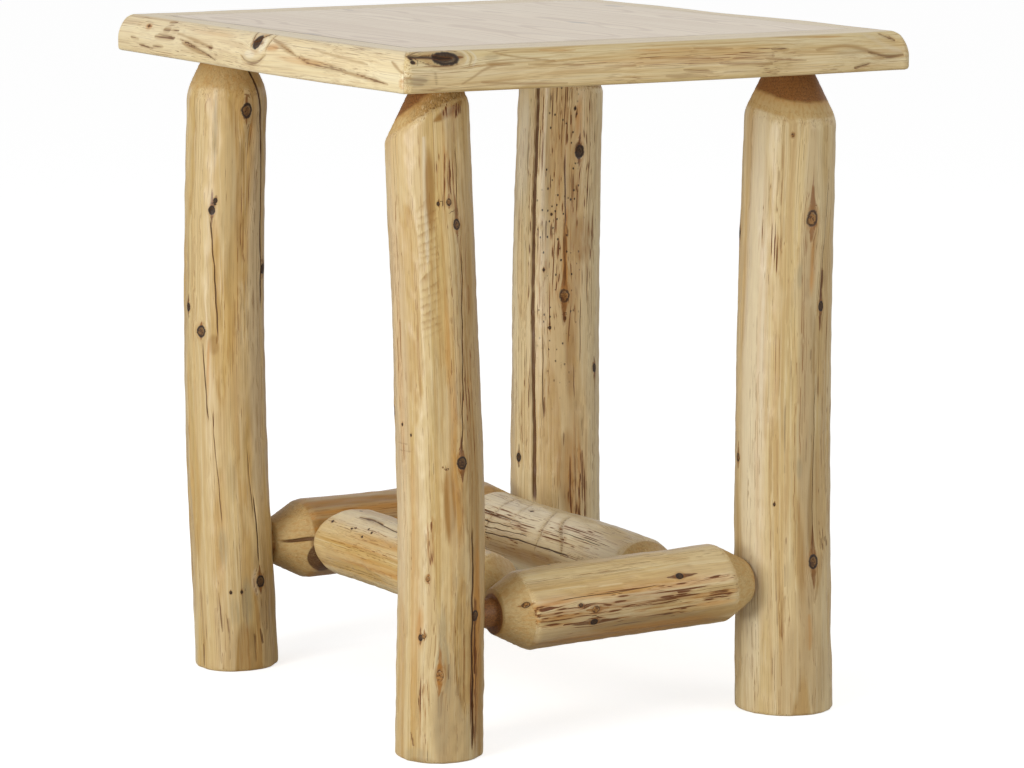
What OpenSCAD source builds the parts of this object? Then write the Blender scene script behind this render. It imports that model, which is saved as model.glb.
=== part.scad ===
// Side table of peeled logs: four crooked legs, two stretchers and two cross
// logs, each turned down at its ends to a cone and a round tenon, under a top
// of edge-glued boards inside a mitred, wavy edging of split logs.
// Millimetres, +Z up, the front is -Y, origin on the floor at the middle.

/* [Table] */
// Height of the tabletop above the floor
table_h = 610; // [560:5:680]
// Width of the top, left to right, at its corners
top_w = 505; // [460:1:560]
// Depth of the top, front to back, at its corners
top_d = 565; // [520:1:620]
// Distance between the leg axes, left to right
legs_x = 354; // [340:1:370]
// Distance between the leg axes, front to back
legs_y = 401; // [380:1:420]

/* [Tabletop] */
// Thickness of the boards and of the edging
top_t = 33.5; // [32:1:45]
// Width of the edging at the front and the back
end_rail_w = 53; // [48:1:64]
// Width of the edging at the left and the right
side_rail_w = 34; // [30:1:44]
// How far the upper rounding of the edging comes in
round_w = 13.5; // [8:0.5:16]
// How far the upper rounding of the edging comes down
round_h = 21; // [12:0.5:24]
// Fullness of the upper rounding, from 2 for an ellipse down to 1 for a bevel
round_power = 1.6; // [1.2:0.1:2.4]
// Size of the small rounding under the edging
lower_round = 3; // [1:0.5:5]
// Radius of the corners of the top, seen from above
corner_r = 10; // [4:1:30]
// Swells of the front edging beyond its corners, left to right
front_waves = [0, 5, 6, 0]; // [0:0.5:8]
// Swells of the right edging beyond its corners, front to back
right_waves = [0, 7, 1, 5, 0]; // [0:0.5:8]
// Swells of the back edging beyond its corners, right to left
back_waves = [0, 6, 4, 0]; // [0:0.5:8]
// Swells of the left edging beyond its corners, back to front
left_waves = [0, 3, 7, 0]; // [0:0.5:8]

/* [Dowels] */
// Diameter of the dowels between the edging and the boards
dowel_d = 8; // [6:1:10]
// How far each dowel goes into the boards
dowel_board_l = 20; // [15:1:24]
// How far each dowel goes into the edging
dowel_rail_l = 16; // [12:1:18]
// Wood kept between the last dowel and the mortise of the leg
dowel_keep = 12; // [8:1:20]

/* [Tenon cutter] */
// Diameter of the round tenons
tenon_d = 25.4; // [20:0.2:30]
// Diameter of the shoulder where the cone starts
shoulder_d = 40; // [34:1:46]
// Angle between the cone and the axis of a leg
leg_cone_angle = 26; // [20:1:35]
// Angle between the cone and the axis of a stretcher or cross log
side_cone_angle = 27.5; // [20:1:35]
// Length of the leg tenons inside the top
leg_tenon_l = 25; // [18:1:28]
// Depth to which the stretcher and cross log tenons enter the log that carries them
side_tenon_l = 42; // [30:1:48]
// Bevel on the end of each tenon
tenon_bevel = 2; // [1:0.5:4]

/* [Fits] */
// Gap between a tenon or dowel and the wall of its hole
fit_gap = 0.1; // [0.05:0.05:0.3]
// Free depth left behind the end of a tenon or dowel
end_gap = 2; // [1:0.5:4]
// Gap between a shoulder and the round face it stops at
shoulder_gap = 0.6; // [0.4:0.1:1]

/* [Legs] */
// Bevel round the bottom of each foot
foot_bevel = 3; // [1:0.5:6]
// Foot and head diameters of the front left leg
front_left_d = [75, 70.5]; // [65:0.5:95]
// Its bends to the right, at four heights from foot to head
front_left_x = [1.5, 2, -1.5, -6]; // [-9:0.5:9]
// Its bends to the back
front_left_y = [1.5, -3, 2.5, 7]; // [-9:0.5:9]
// Foot and head diameters of the front right leg
front_right_d = [87.5, 81]; // [65:0.5:95]
// Its bends to the right, at four heights from foot to head
front_right_x = [1, -1, -2.5, 2]; // [-9:0.5:9]
// Its bends to the back
front_right_y = [-1, 2.5, -1, -1.5]; // [-9:0.5:9]
// Foot and head diameters of the back left leg
back_left_d = [78, 73]; // [65:0.5:95]
// Its bends to the right, at four heights from foot to head
back_left_x = [2, -2.5, -3, 1]; // [-9:0.5:9]
// Its bends to the back
back_left_y = [-2, 4, 4.5, 0]; // [-9:0.5:9]
// Foot and head diameters of the back right leg
back_right_d = [87.5, 81]; // [65:0.5:95]
// Its bends to the right, at four heights from foot to head
back_right_x = [0, -2.5, 0, 4]; // [-9:0.5:9]
// Its bends to the back
back_right_y = [1, -1, 1, -2.5]; // [-9:0.5:9]

/* [Stretchers] */
// Height of the tenons of the front stretcher above the floor
front_stretcher_z = 119; // [100:1:160]
// Left and right end diameters of the front stretcher
front_stretcher_d = [69.5, 69.5]; // [60:0.5:80]
// Its bends to the back, at four places from left to right
front_stretcher_y = [0, 2, 1, -1]; // [-6:0.5:6]
// Its bends upwards
front_stretcher_up = [-2, -0.5, 1, 2.5]; // [-6:0.5:6]
// Length of tenon that shows at its left end
front_stretcher_show = 14; // [0:1:25]
// Height of the tenons of the back stretcher above the floor
back_stretcher_z = 113; // [100:1:160]
// Left and right end diameters of the back stretcher
back_stretcher_d = [75.5, 73]; // [60:0.5:80]
// Its bends to the back, at four places from left to right
back_stretcher_y = [0, -1.5, 1, 0]; // [-6:0.5:6]
// Its bends upwards
back_stretcher_up = [0, 0.5, 0.5, 0]; // [-6:0.5:6]
// Length of tenon that shows at its right end
back_stretcher_show = 6; // [0:1:25]

/* [Cross logs] */
// Distance of the left cross log to the left of the middle
left_cross_x = 91; // [80:1:94]
// Front and back end diameters of the left cross log
left_cross_d = [66.5, 65]; // [55:0.5:75]
// Its bends to the left, at four places from front to back
left_cross_side = [-7, -8, -9, -10]; // [-10:0.5:10]
// Its bends upwards
left_cross_up = [4, 4.5, 4, 1]; // [-6:0.5:6]
// Length of tenon that shows at its front end
left_cross_show = 4; // [0:1:20]
// Distance of the right cross log to the right of the middle
right_cross_x = 69; // [55:1:92]
// Front and back end diameters of the right cross log
right_cross_d = [72, 71]; // [55:0.5:75]
// Its bends to the left, at four places from front to back
right_cross_side = [0, -1.5, 1, 0]; // [-7:0.5:7]
// Its bends upwards
right_cross_up = [0, 1, 0, 0]; // [-6:0.5:6]

/* [Smoothness] */
// Flat sides round each log
log_sides = 24; // [16:4:32]
// Spacing of the sections along each log
section_step = 50; // [30:5:80]
// Out-of-roundness of the logs, as a share of the radius
log_oval = 0.012; // [0:0.002:0.03]

/* [Hidden] */

log_colour = [0.85, 0.76, 0.56];
cross_colour = [0.80, 0.69, 0.48];
board_colour = [0.84, 0.78, 0.69];
rail_colour = [0.88, 0.81, 0.62];
dowel_colour = [0.90, 0.84, 0.70];

board_count = 5;
half_w = top_w / 2;
half_d = top_d / 2;
field_w = top_w - 2 * side_rail_w;
field_d = top_d - 2 * end_rail_w;
board_w = field_w / board_count;
under_z = table_h - top_t;
leg_x = legs_x / 2;
leg_y = legs_y / 2;
tenon_r = tenon_d / 2;
shoulder_r = shoulder_d / 2;
mortise_r = tenon_r + fit_gap;
cross_z = (front_stretcher_z + back_stretcher_z) / 2;
// The cutter's cone is carried out to a radius that clears the thickest log
cutter_r = 70;
bore_fn = 48;

// The four sides of the top, counted round from the front to the left
FRONT = 0;
RIGHT = 1;
BACK = 2;
LEFT = 3;
side_half = [half_w, half_d, half_w, half_d];
side_out = [half_d, half_w, half_d, half_w];
side_waves = [front_waves, right_waves, back_waves, left_waves];
edge_steps = 12;
corner_steps = 5;
least_corner_r = 2;
round_steps = 6;
// Each mitre plane is carried past the corner by this share of its length
mitre_reach = 2;
// The saw cuts run this far past the top and the underside
saw_past = 5;

// Dowels along one rail: the outer ones keep clear of the leg mortises
dowel_count = 5;
dowel_r = dowel_d / 2;
dowel_z = under_z + top_t / 2;
dowel_span = [
    leg_x - mortise_r - dowel_keep,
    leg_y - mortise_r - dowel_keep,
    leg_x - mortise_r - dowel_keep,
    leg_y - mortise_r - dowel_keep
];
rail_face = [field_d / 2, field_w / 2, field_d / 2, field_w / 2];

// A smooth curve through equally spaced values v, read at the share t of its length
function smooth(v, t) =
    let (
        n = len(v) - 1,
        i = min(n - 1, floor(t * n)),
        u = t * n - i,
        a = v[max(i - 1, 0)],
        b = v[i],
        c = v[i + 1],
        d = v[min(i + 2, n)]
    )
    (2 * b + (c - a) * u + (2 * a - 5 * b + 4 * c - d) * u * u
        + (3 * b - a - 3 * c + d) * u * u * u) / 2;

// Triangles of a stack of closed sections, with flat ends
function stack_faces(sections, sides) = concat(
    [[for (j = [0 : sides - 1]) j]],
    [for (i = [0 : sections - 2]) for (j = [0 : sides - 1]) for (half = [0, 1])
        let (
            k = (j + 1) % sides,
            a = i * sides + j,
            b = i * sides + k,
            c = (i + 1) * sides + k,
            d = (i + 1) * sides + j
        )
        half == 0 ? [a, d, c] : [a, c, b]],
    [[for (j = [sides - 1 : -1 : 0]) (sections - 1) * sides + j]]
);

module stack(sections) {
    sides = len(sections[0]);
    polyhedron(
        points = [for (s = sections) for (p = s) p],
        faces = stack_faces(len(sections), sides)
    );
}

// A log is [end diameters, bends along its x, bends along its y, turn of its oval]
front_left_log = [front_left_d, front_left_x, front_left_y, 20];
front_right_log = [front_right_d, front_right_x, front_right_y, 140];
back_left_log = [back_left_d, back_left_x, back_left_y, 250];
back_right_log = [back_right_d, back_right_x, back_right_y, 75];
front_stretcher_log = [front_stretcher_d, front_stretcher_y, front_stretcher_up, 200];
back_stretcher_log = [back_stretcher_d, back_stretcher_y, back_stretcher_up, 310];
left_cross_log = [left_cross_d, left_cross_side, left_cross_up, 35];
right_cross_log = [right_cross_d, right_cross_side, right_cross_up, 170];

function log_x(log, t) = smooth(log[1], t);
function log_y(log, t) = smooth(log[2], t);

// Radius of a log at the share t of its length and the angle a round it
function log_radius(log, t, a) =
    (log[0][0] + (log[0][1] - log[0][0]) * t) / 2
    * (1 + log_oval * cos(2 * a + log[3] + 60 * t)
        + 0.6 * log_oval * cos(3 * a - log[3] - 200 * t));

function log_section(log, z, t, inset) = [
    for (j = [0 : log_sides - 1])
        let (a = 360 * j / log_sides, r = log_radius(log, t, a) - inset)
        [log_x(log, t) + r * cos(a), log_y(log, t) + r * sin(a), z]
];

// How far a log's surface stands from its tenon axis, in the direction of angle a
function log_reach(log, t, a) =
    log_x(log, t) * cos(a) + log_y(log, t) * sin(a) + log_radius(log, t, a);

// The crooked body of a log, standing on z = low, its bends spread from 0 to body_l
module log_body(log, low, high, body_l, bevel) {
    steps = ceil((high - low - bevel) / section_step);
    start = low + bevel;
    share = function (z) max(0, min(1, z / body_l));
    stack(concat(
        bevel > 0
            ? [
                log_section(log, low, share(low), bevel),
                log_section(log, low + bevel * 0.3, share(low + bevel * 0.3), bevel * 0.3)
            ]
            : [],
        [for (i = [0 : steps])
            let (z = start + (high - start) * i / steps)
            log_section(log, z, share(z), 0)]
    ));
}

// One end of what the tenon cutter leaves: points from the axis out to the cone's rim,
// for a shoulder at z = end and a tenon of length tenon_l beyond it, in direction way
function cutter_end(end, tenon_l, way, angle) = [
    [0, end + way * tenon_l],
    [tenon_r - tenon_bevel, end + way * tenon_l],
    [tenon_r, end + way * (tenon_l - tenon_bevel)],
    [tenon_r, end],
    [shoulder_r, end],
    [cutter_r, end - way * (cutter_r - shoulder_r) / tan(angle)]
];

// What is left inside the cutter when only the head is turned down
module head_cut(head, tenon_l) {
    rotate_extrude($fn = bore_fn)
        polygon(concat(
            [[0, 0], [cutter_r, 0]],
            [for (i = [5 : -1 : 0]) cutter_end(head, tenon_l, 1, leg_cone_angle)[i]]
        ));
}

// What is left when both ends are turned down, for shoulders at z = 0 and z = shoulders
module both_ends_cut(shoulders, tenon_a, tenon_b) {
    rotate_extrude($fn = bore_fn)
        polygon(concat(
            cutter_end(0, tenon_a, -1, side_cone_angle),
            [for (i = [5 : -1 : 0]) cutter_end(shoulders, tenon_b, 1, side_cone_angle)[i]]
        ));
}

module leg_log(log) {
    intersection() {
        log_body(log, 0, under_z + leg_tenon_l, under_z, foot_bevel);
        head_cut(under_z, leg_tenon_l);
    }
}

// A level log before it is laid: shoulders at z = 0 and z = shoulders
module level_log(log, shoulders, tenon_a, tenon_b) {
    intersection() {
        log_body(log, -tenon_a, shoulders + tenon_b, shoulders, 0);
        both_ends_cut(shoulders, tenon_a, tenon_b);
    }
}

// A round mortise whose mouth lies before z = 0 and whose bottom is at z = depth
module mortise(depth) {
    translate([0, 0, -cutter_r])
        cylinder(r = mortise_r, h = cutter_r + depth + end_gap, $fn = bore_fn);
}

// Lays a log's z along the table's X, its y up and its x to the back
module along_x() {
    rotate([90, 0, 90])
        children();
}

// Lays a log's z along the table's Y, its y up and its x to the left
module along_y() {
    rotate([90, 0, 180])
        children();
}

// Faces of the legs where the stretchers arrive, as X
front_left_face = -leg_x + log_reach(front_left_log, front_stretcher_z / under_z, 0);
front_right_face = leg_x - log_reach(front_right_log, front_stretcher_z / under_z, 180);
back_left_face = -leg_x + log_reach(back_left_log, back_stretcher_z / under_z, 0);
back_right_face = leg_x - log_reach(back_right_log, back_stretcher_z / under_z, 180);

// Shoulders of the stretchers, as X
front_stretcher_a = front_left_face + max(shoulder_gap, front_stretcher_show);
front_stretcher_b = front_right_face - shoulder_gap;
front_stretcher_l = front_stretcher_b - front_stretcher_a;
back_stretcher_a = back_left_face + shoulder_gap;
back_stretcher_b = back_right_face - max(shoulder_gap, back_stretcher_show);
back_stretcher_l = back_stretcher_b - back_stretcher_a;

// Faces of the stretchers where the cross logs arrive, as Y
function front_face_at(x) =
    -leg_y + log_reach(front_stretcher_log, (x - front_stretcher_a) / front_stretcher_l, 0);
function back_face_at(x) =
    leg_y - log_reach(back_stretcher_log, (x - back_stretcher_a) / back_stretcher_l, 180);

left_cross_a = front_face_at(-left_cross_x) + max(shoulder_gap, left_cross_show);
left_cross_b = back_face_at(-left_cross_x) - shoulder_gap;
right_cross_a = front_face_at(right_cross_x) + shoulder_gap;
right_cross_b = back_face_at(right_cross_x) - shoulder_gap;

// Where a point u along and o out from the middle of a side lies on the table
function on_side(side, u, o) =
    side == FRONT ? [u, -o] : side == RIGHT ? [o, u] : side == BACK ? [-u, o] : [-o, -u];

// Outline of the top at one level: four wavy sides joined by round corners
function top_section(z, inset) = [
    for (side = [FRONT : LEFT])
        let (
            r = max(corner_r - inset, least_corner_r),
            run = side_half[side] - inset - r,
            out = side_out[side] - inset
        )
        each concat(
            [for (i = [0 : edge_steps])
                let (
                    t = i / edge_steps,
                    p = on_side(side, run * (2 * t - 1), out + smooth(side_waves[side], t))
                )
                [p[0], p[1], z]],
            [for (i = [1 : corner_steps - 1])
                let (
                    a = 90 * i / corner_steps,
                    p = on_side(side, run + r * sin(a), out - r + r * cos(a))
                )
                [p[0], p[1], z]]
        )
];

// The whole top as it is shaped after the edging is fitted round the boards
module shaped_top() {
    widest = table_h - round_h;
    power = 2 / round_power;
    stack(concat(
        [
            top_section(under_z, lower_round),
            top_section(under_z + lower_round * 0.3, lower_round * 0.3),
            top_section(under_z + lower_round, 0)
        ],
        [for (i = [0 : round_steps])
            let (a = 90 * i / round_steps)
            top_section(widest + round_h * pow(sin(a), power), round_w * (1 - pow(cos(a), power)))]
    ));
}

// The plan of one rail: its inner face on the boards, its ends on the mitre planes
module rail_plan(side) {
    face = rail_face[side];
    along = rail_face[(side + 1) % 4];
    out = mitre_reach * (side_out[side] - face);
    spread = mitre_reach * (side_half[side] - along);
    polygon([
        on_side(side, -along, face),
        on_side(side, -along - spread, face + out),
        on_side(side, along + spread, face + out),
        on_side(side, along, face)
    ]);
}

// Turns +Y to the outward direction of a side and +X along it
module face_side(side) {
    rotate([0, 0, 180 + 90 * side])
        children();
}

// The dowels of one rail, each grown by a gap round and past its ends
module dowels(side, gap, past) {
    span = dowel_span[side];
    length = dowel_board_l + dowel_rail_l + 2 * past;
    for (i = [0 : dowel_count - 1]) {
        u = span * (2 * i / (dowel_count - 1) - 1);
        face_side(side)
            translate([u, rail_face[side] - dowel_board_l - past, dowel_z])
                rotate([-90, 0, 0])
                    cylinder(r = dowel_r + gap, h = length, $fn = bore_fn);
    }
}

module leg_mortises() {
    for (x = [-leg_x, leg_x], y = [-leg_y, leg_y]) {
        translate([x, y, under_z])
            mortise(leg_tenon_l);
    }
}

module edge_rail(side) {
    color(rail_colour)
        difference() {
            intersection() {
                shaped_top();
                translate([0, 0, under_z - saw_past])
                    linear_extrude(height = top_t + 2 * saw_past)
                        rail_plan(side);
            }
            dowels(side, fit_gap, end_gap);
        }
}

module rail_dowels(side) {
    color(dowel_colour)
        dowels(side, 0, 0);
}

// Board number i of the field, counted from the left; the outer ones take the leg tenons
module top_board(i) {
    color(board_colour)
        difference() {
            translate([-field_w / 2 + (i - 1) * board_w, -field_d / 2, under_z])
                cube([board_w, field_d, top_t]);
            dowels(FRONT, fit_gap, end_gap);
            dowels(BACK, fit_gap, end_gap);
            if (i == 1) {
                dowels(LEFT, fit_gap, end_gap);
                leg_mortises();
            }
            if (i == board_count) {
                dowels(RIGHT, fit_gap, end_gap);
                leg_mortises();
            }
        }
}

// A leg in its place, bored for its stretcher: inward is 1 for a left leg, -1 for a right one
module leg(log, x, y, stretcher_z, face, inward) {
    color(log_colour)
        difference() {
            translate([x, y, 0])
                leg_log(log);
            translate([face, y, stretcher_z])
                rotate([0, -90 * inward, 0])
                    mortise(side_tenon_l);
        }
}

module leg_front_left() {
    leg(front_left_log, -leg_x, -leg_y, front_stretcher_z, front_left_face, 1);
}

module leg_front_right() {
    leg(front_right_log, leg_x, -leg_y, front_stretcher_z, front_right_face, -1);
}

module leg_back_left() {
    leg(back_left_log, -leg_x, leg_y, back_stretcher_z, back_left_face, 1);
}

module leg_back_right() {
    leg(back_right_log, leg_x, leg_y, back_stretcher_z, back_right_face, -1);
}

// A stretcher between two leg faces, its tenons reaching side_tenon_l past them
module stretcher_body(log, y, z, a, b, face_a, face_b) {
    translate([a, y, z])
        along_x()
            level_log(log, b - a, a - face_a + side_tenon_l, face_b - b + side_tenon_l);
}

module stretcher_front() {
    color(log_colour)
        difference() {
            stretcher_body(
                front_stretcher_log, -leg_y, front_stretcher_z,
                front_stretcher_a, front_stretcher_b, front_left_face, front_right_face
            );
            for (x = [-left_cross_x, right_cross_x]) {
                translate([x, front_face_at(x), cross_z])
                    rotate([90, 0, 0])
                        mortise(side_tenon_l);
            }
        }
}

module stretcher_back() {
    color(log_colour)
        difference() {
            stretcher_body(
                back_stretcher_log, leg_y, back_stretcher_z,
                back_stretcher_a, back_stretcher_b, back_left_face, back_right_face
            );
            for (x = [-left_cross_x, right_cross_x]) {
                translate([x, back_face_at(x), cross_z])
                    rotate([-90, 0, 0])
                        mortise(side_tenon_l);
            }
        }
}

// A cross log between the faces of the two stretchers
module cross_log(log, x, a, b) {
    color(cross_colour)
        translate([x, a, cross_z])
            along_y()
                level_log(
                    log, b - a,
                    a - front_face_at(x) + side_tenon_l,
                    back_face_at(x) - b + side_tenon_l
                );
}

module cross_log_left() {
    cross_log(left_cross_log, -left_cross_x, left_cross_a, left_cross_b);
}

module cross_log_right() {
    cross_log(right_cross_log, right_cross_x, right_cross_a, right_cross_b);
}

top_board(1);  // top_board_1
top_board(2);  // top_board_2
top_board(3);  // top_board_3
top_board(4);  // top_board_4
top_board(5);  // top_board_5
edge_rail(FRONT);  // edge_rail_front
edge_rail(RIGHT);  // edge_rail_right
edge_rail(BACK);  // edge_rail_back
edge_rail(LEFT);  // edge_rail_left
rail_dowels(FRONT);  // rail_dowels_front
rail_dowels(RIGHT);  // rail_dowels_right
rail_dowels(BACK);  // rail_dowels_back
rail_dowels(LEFT);  // rail_dowels_left
leg_front_left();
leg_front_right();
leg_back_left();
leg_back_right();
stretcher_front();
stretcher_back();
cross_log_left();
cross_log_right();
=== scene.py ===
# %% [markdown]
# # A side table of peeled logs
#
# The table stands on four crooked logs. Two stretchers join the legs in pairs, two cross logs
# join the stretchers, and a board top lies on the leg heads inside a mitred edging of split logs.
# The CAD model holds the exact joints. This lesson gives each log its drawknife flats, knots and
# cracks, and each surface its wood. It moves nothing: every piece stays where the CAD model has it.

import math

import bpy
import numpy as np
from mathutils import Matrix, Vector


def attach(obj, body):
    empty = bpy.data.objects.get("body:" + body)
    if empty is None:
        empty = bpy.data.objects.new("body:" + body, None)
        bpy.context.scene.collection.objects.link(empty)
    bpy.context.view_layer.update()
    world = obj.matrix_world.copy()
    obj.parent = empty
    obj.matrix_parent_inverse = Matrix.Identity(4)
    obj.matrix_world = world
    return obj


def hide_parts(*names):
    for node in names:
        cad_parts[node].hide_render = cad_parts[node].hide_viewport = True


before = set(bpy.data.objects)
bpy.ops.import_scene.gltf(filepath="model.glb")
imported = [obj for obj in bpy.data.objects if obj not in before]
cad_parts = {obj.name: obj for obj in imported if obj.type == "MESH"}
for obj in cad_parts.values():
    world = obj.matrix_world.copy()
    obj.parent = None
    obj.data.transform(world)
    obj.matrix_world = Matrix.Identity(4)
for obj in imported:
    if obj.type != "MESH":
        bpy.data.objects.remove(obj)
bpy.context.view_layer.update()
MM = 0.001
TAU = 2 * math.pi

# %% [markdown]
# ## Curves, steps and ripples
#
# A peeled log bends softly, so its centre line is a smooth curve through four bends. Its surface
# rises and falls in long waves. A sum of a few cosines with whole numbers of turns round the log
# closes without a seam, gives the same wood on every run and costs a few array operations.

# %% Curves, steps and ripples
def curve(values, share):
    """Smooth curve through equally spaced values, read at a share of its length: each span is a
    cubic whose slope at a value is half the step between its two neighbours."""
    v = np.array([values[0], *values, values[-1]], float)
    spans = len(values) - 1
    i = np.minimum((share * spans).astype(int), spans - 1)
    u = share * spans - i
    a, b, c, d = (v[i + k] for k in range(4))
    bend = (2 * a - 5 * b + 4 * c - d) * u**2 + (3 * b - a - 3 * c + d) * u**3
    return (2 * b + (c - a) * u + bend) / 2


def step(low, high, x):
    """Goes smoothly from 0 to 1 as x goes from low to high."""
    t = np.clip((x - low) / (high - low), 0, 1)
    return t * t * (3 - 2 * t)


def lesser(a, b, ease):
    """The smaller of two surfaces, with the edge where they meet eased over a width of ease."""
    h = np.clip(0.5 + 0.5 * (b - a) / ease, 0, 1)
    return b * (1 - h) + a * h - ease * h * (1 - h)


def apart(a, b):
    """The shorter turn from angle b to angle a, between -pi and pi."""
    return (a - b + math.pi) % TAU - math.pi


def pairs(numbers):
    """A flat row of numbers as pairs."""
    return list(zip(numbers[::2], numbers[1::2]))


def ripple(seed, turn, along, most_turns, pitch, count=12):
    """Soft random waves of about -1 to 1: the sum of count cosines, each with a whole number of
    turns round the log, a random pitch along it and a random start."""
    draw = np.random.default_rng(seed)
    turns = draw.integers(0, most_turns + 1, count)
    pitches = draw.uniform(*pitch, count) * draw.choice([-1, 1], count)
    starts = draw.uniform(0, TAU, count)
    waves = [np.cos(n * turn + TAU * along / p + s) for n, p, s in zip(turns, pitches, starts)]
    return sum(waves) / math.sqrt(count / 2)


print("half way through the bends 0, 2, 1, -1 the curve is at", curve([0, 2, 1, -1], np.array(0.5)))

# %% [markdown]
# ## From a grid of points to a piece
#
# Every log and rail is a grid: its columns run round the piece and its rows along it. The last
# column joins the first, and a fan of triangles on a middle point closes each end, so each piece is
# one closed solid. What the wood looks like at a point is stored beside it as named vectors.

# %% From a grid of points to a piece
def grid_piece(name, points, notes, ends):
    """Closed solid from a grid of rows and columns in millimetres: quads between the rows, a fan to
    a middle point at each end. notes holds vectors for the grid, ends the same for both middles."""
    rows, columns = points.shape[:2]
    i = np.arange(rows - 1)[:, None] * columns
    j = np.arange(columns)[None, :]
    k = (j + 1) % columns
    quads = np.stack([i + j, i + k, i + columns + k, i + columns + j], -1).reshape(-1, 4)
    ring = np.arange(columns)
    following = (ring + 1) % columns
    first, last, top = rows * columns, rows * columns + 1, (rows - 1) * columns
    low_fan = np.stack([following, ring, np.full(columns, first)], -1)
    high_fan = np.stack([top + ring, top + following, np.full(columns, last)], -1)
    middles = np.stack([points[0].mean(0), points[-1].mean(0)])
    spots = np.concatenate([points.reshape(-1, 3), middles]) * MM
    corners = np.concatenate([quads.ravel(), low_fan.ravel(), high_fan.ravel()])
    sizes = np.concatenate([np.full(len(quads), 4), np.full(2 * columns, 3)])
    mesh = bpy.data.meshes.new(name)
    mesh.vertices.add(len(spots))
    mesh.vertices.foreach_set("co", spots.astype(np.float32).ravel())
    mesh.loops.add(len(corners))
    mesh.loops.foreach_set("vertex_index", corners.astype(np.int32))
    mesh.polygons.add(len(sizes))
    mesh.polygons.foreach_set("loop_start", (np.cumsum(sizes) - sizes).astype(np.int32))
    mesh.polygons.foreach_set("use_smooth", sizes == 4)
    mesh.update(calc_edges=True)
    mesh.validate()
    for note, values in notes.items():
        layer = mesh.attributes.new(note, "FLOAT_VECTOR", "POINT")
        full = np.concatenate([values.reshape(-1, 3), np.array(ends[note], float).reshape(2, 3)])
        layer.data.foreach_set("vector", full.astype(np.float32).ravel())
    piece = bpy.data.objects.new(name, mesh)
    bpy.context.scene.collection.objects.link(piece)
    print(f"{name}: {rows} rows of {columns} points, {2 * (len(quads) + columns)} triangles")
    return piece


# %% [markdown]
# ## What grows in the wood
#
# A knot is the root of a branch: a dark round plug with a swollen collar, and the grain flows
# round it as water flows round a post. A crack is a long dark split. A stain is a patch where the
# colour of the inner bark, the weather or short dark flecks show; some shade and pale stains are
# painted shade and painted light instead, laid where a side, a foot or an underside is in shade or
# in the light. All three are laid on a flat map of the piece, whose one direction goes round it and
# whose other goes along it. The map's grain is bent with the formula for flow round a post, and the
# finish draws its lines along that bent grain.
#
# Marks are rows of numbers, in millimetres unless said otherwise. Each begins with its place round
# the piece, in degrees on a log and as a height on a rail, and its place along it:
#
# - a knot: place round, place along, radius, darkness, rise of its collar, length of its eye, and,
#   where it is not 1.25, how stretched it is along the grain;
# - a stain, under the name of its kind: place round, place along, half its width, half its length
#   and its strength;
# - a brushed stain: half its width, its strength and the places on its way, two numbers for each;
# - a crack, or a stroke, which may lie across the grain: half its width, its depth, its darkness
#   and the places on its way.

# %% What grows in the wood
FAR = 50.0
# Shade and pale stains hold darker and paler wood, and also painted shade and painted light.
STAINS = {"orange": 0.0, "grey": 0.0, "shade": 0.0, "pale": 0.0, "flecks": 0.15, "pins": 0.0}
STRETCH = 1.25
KNOT_REACH = (2.6, 3.4)
FLOW_STRETCH, FLOW_REACH = 3, (3, 6)
EYE_W, EYE_BELOW = 1.45, 0.65
COLLAR_R, PLUG_R, PLUG_DIP = 2.0, 0.75, 0.6
PIT, PIT_FROM = 0.28, 0.85
RAGGED = 0.12


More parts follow.
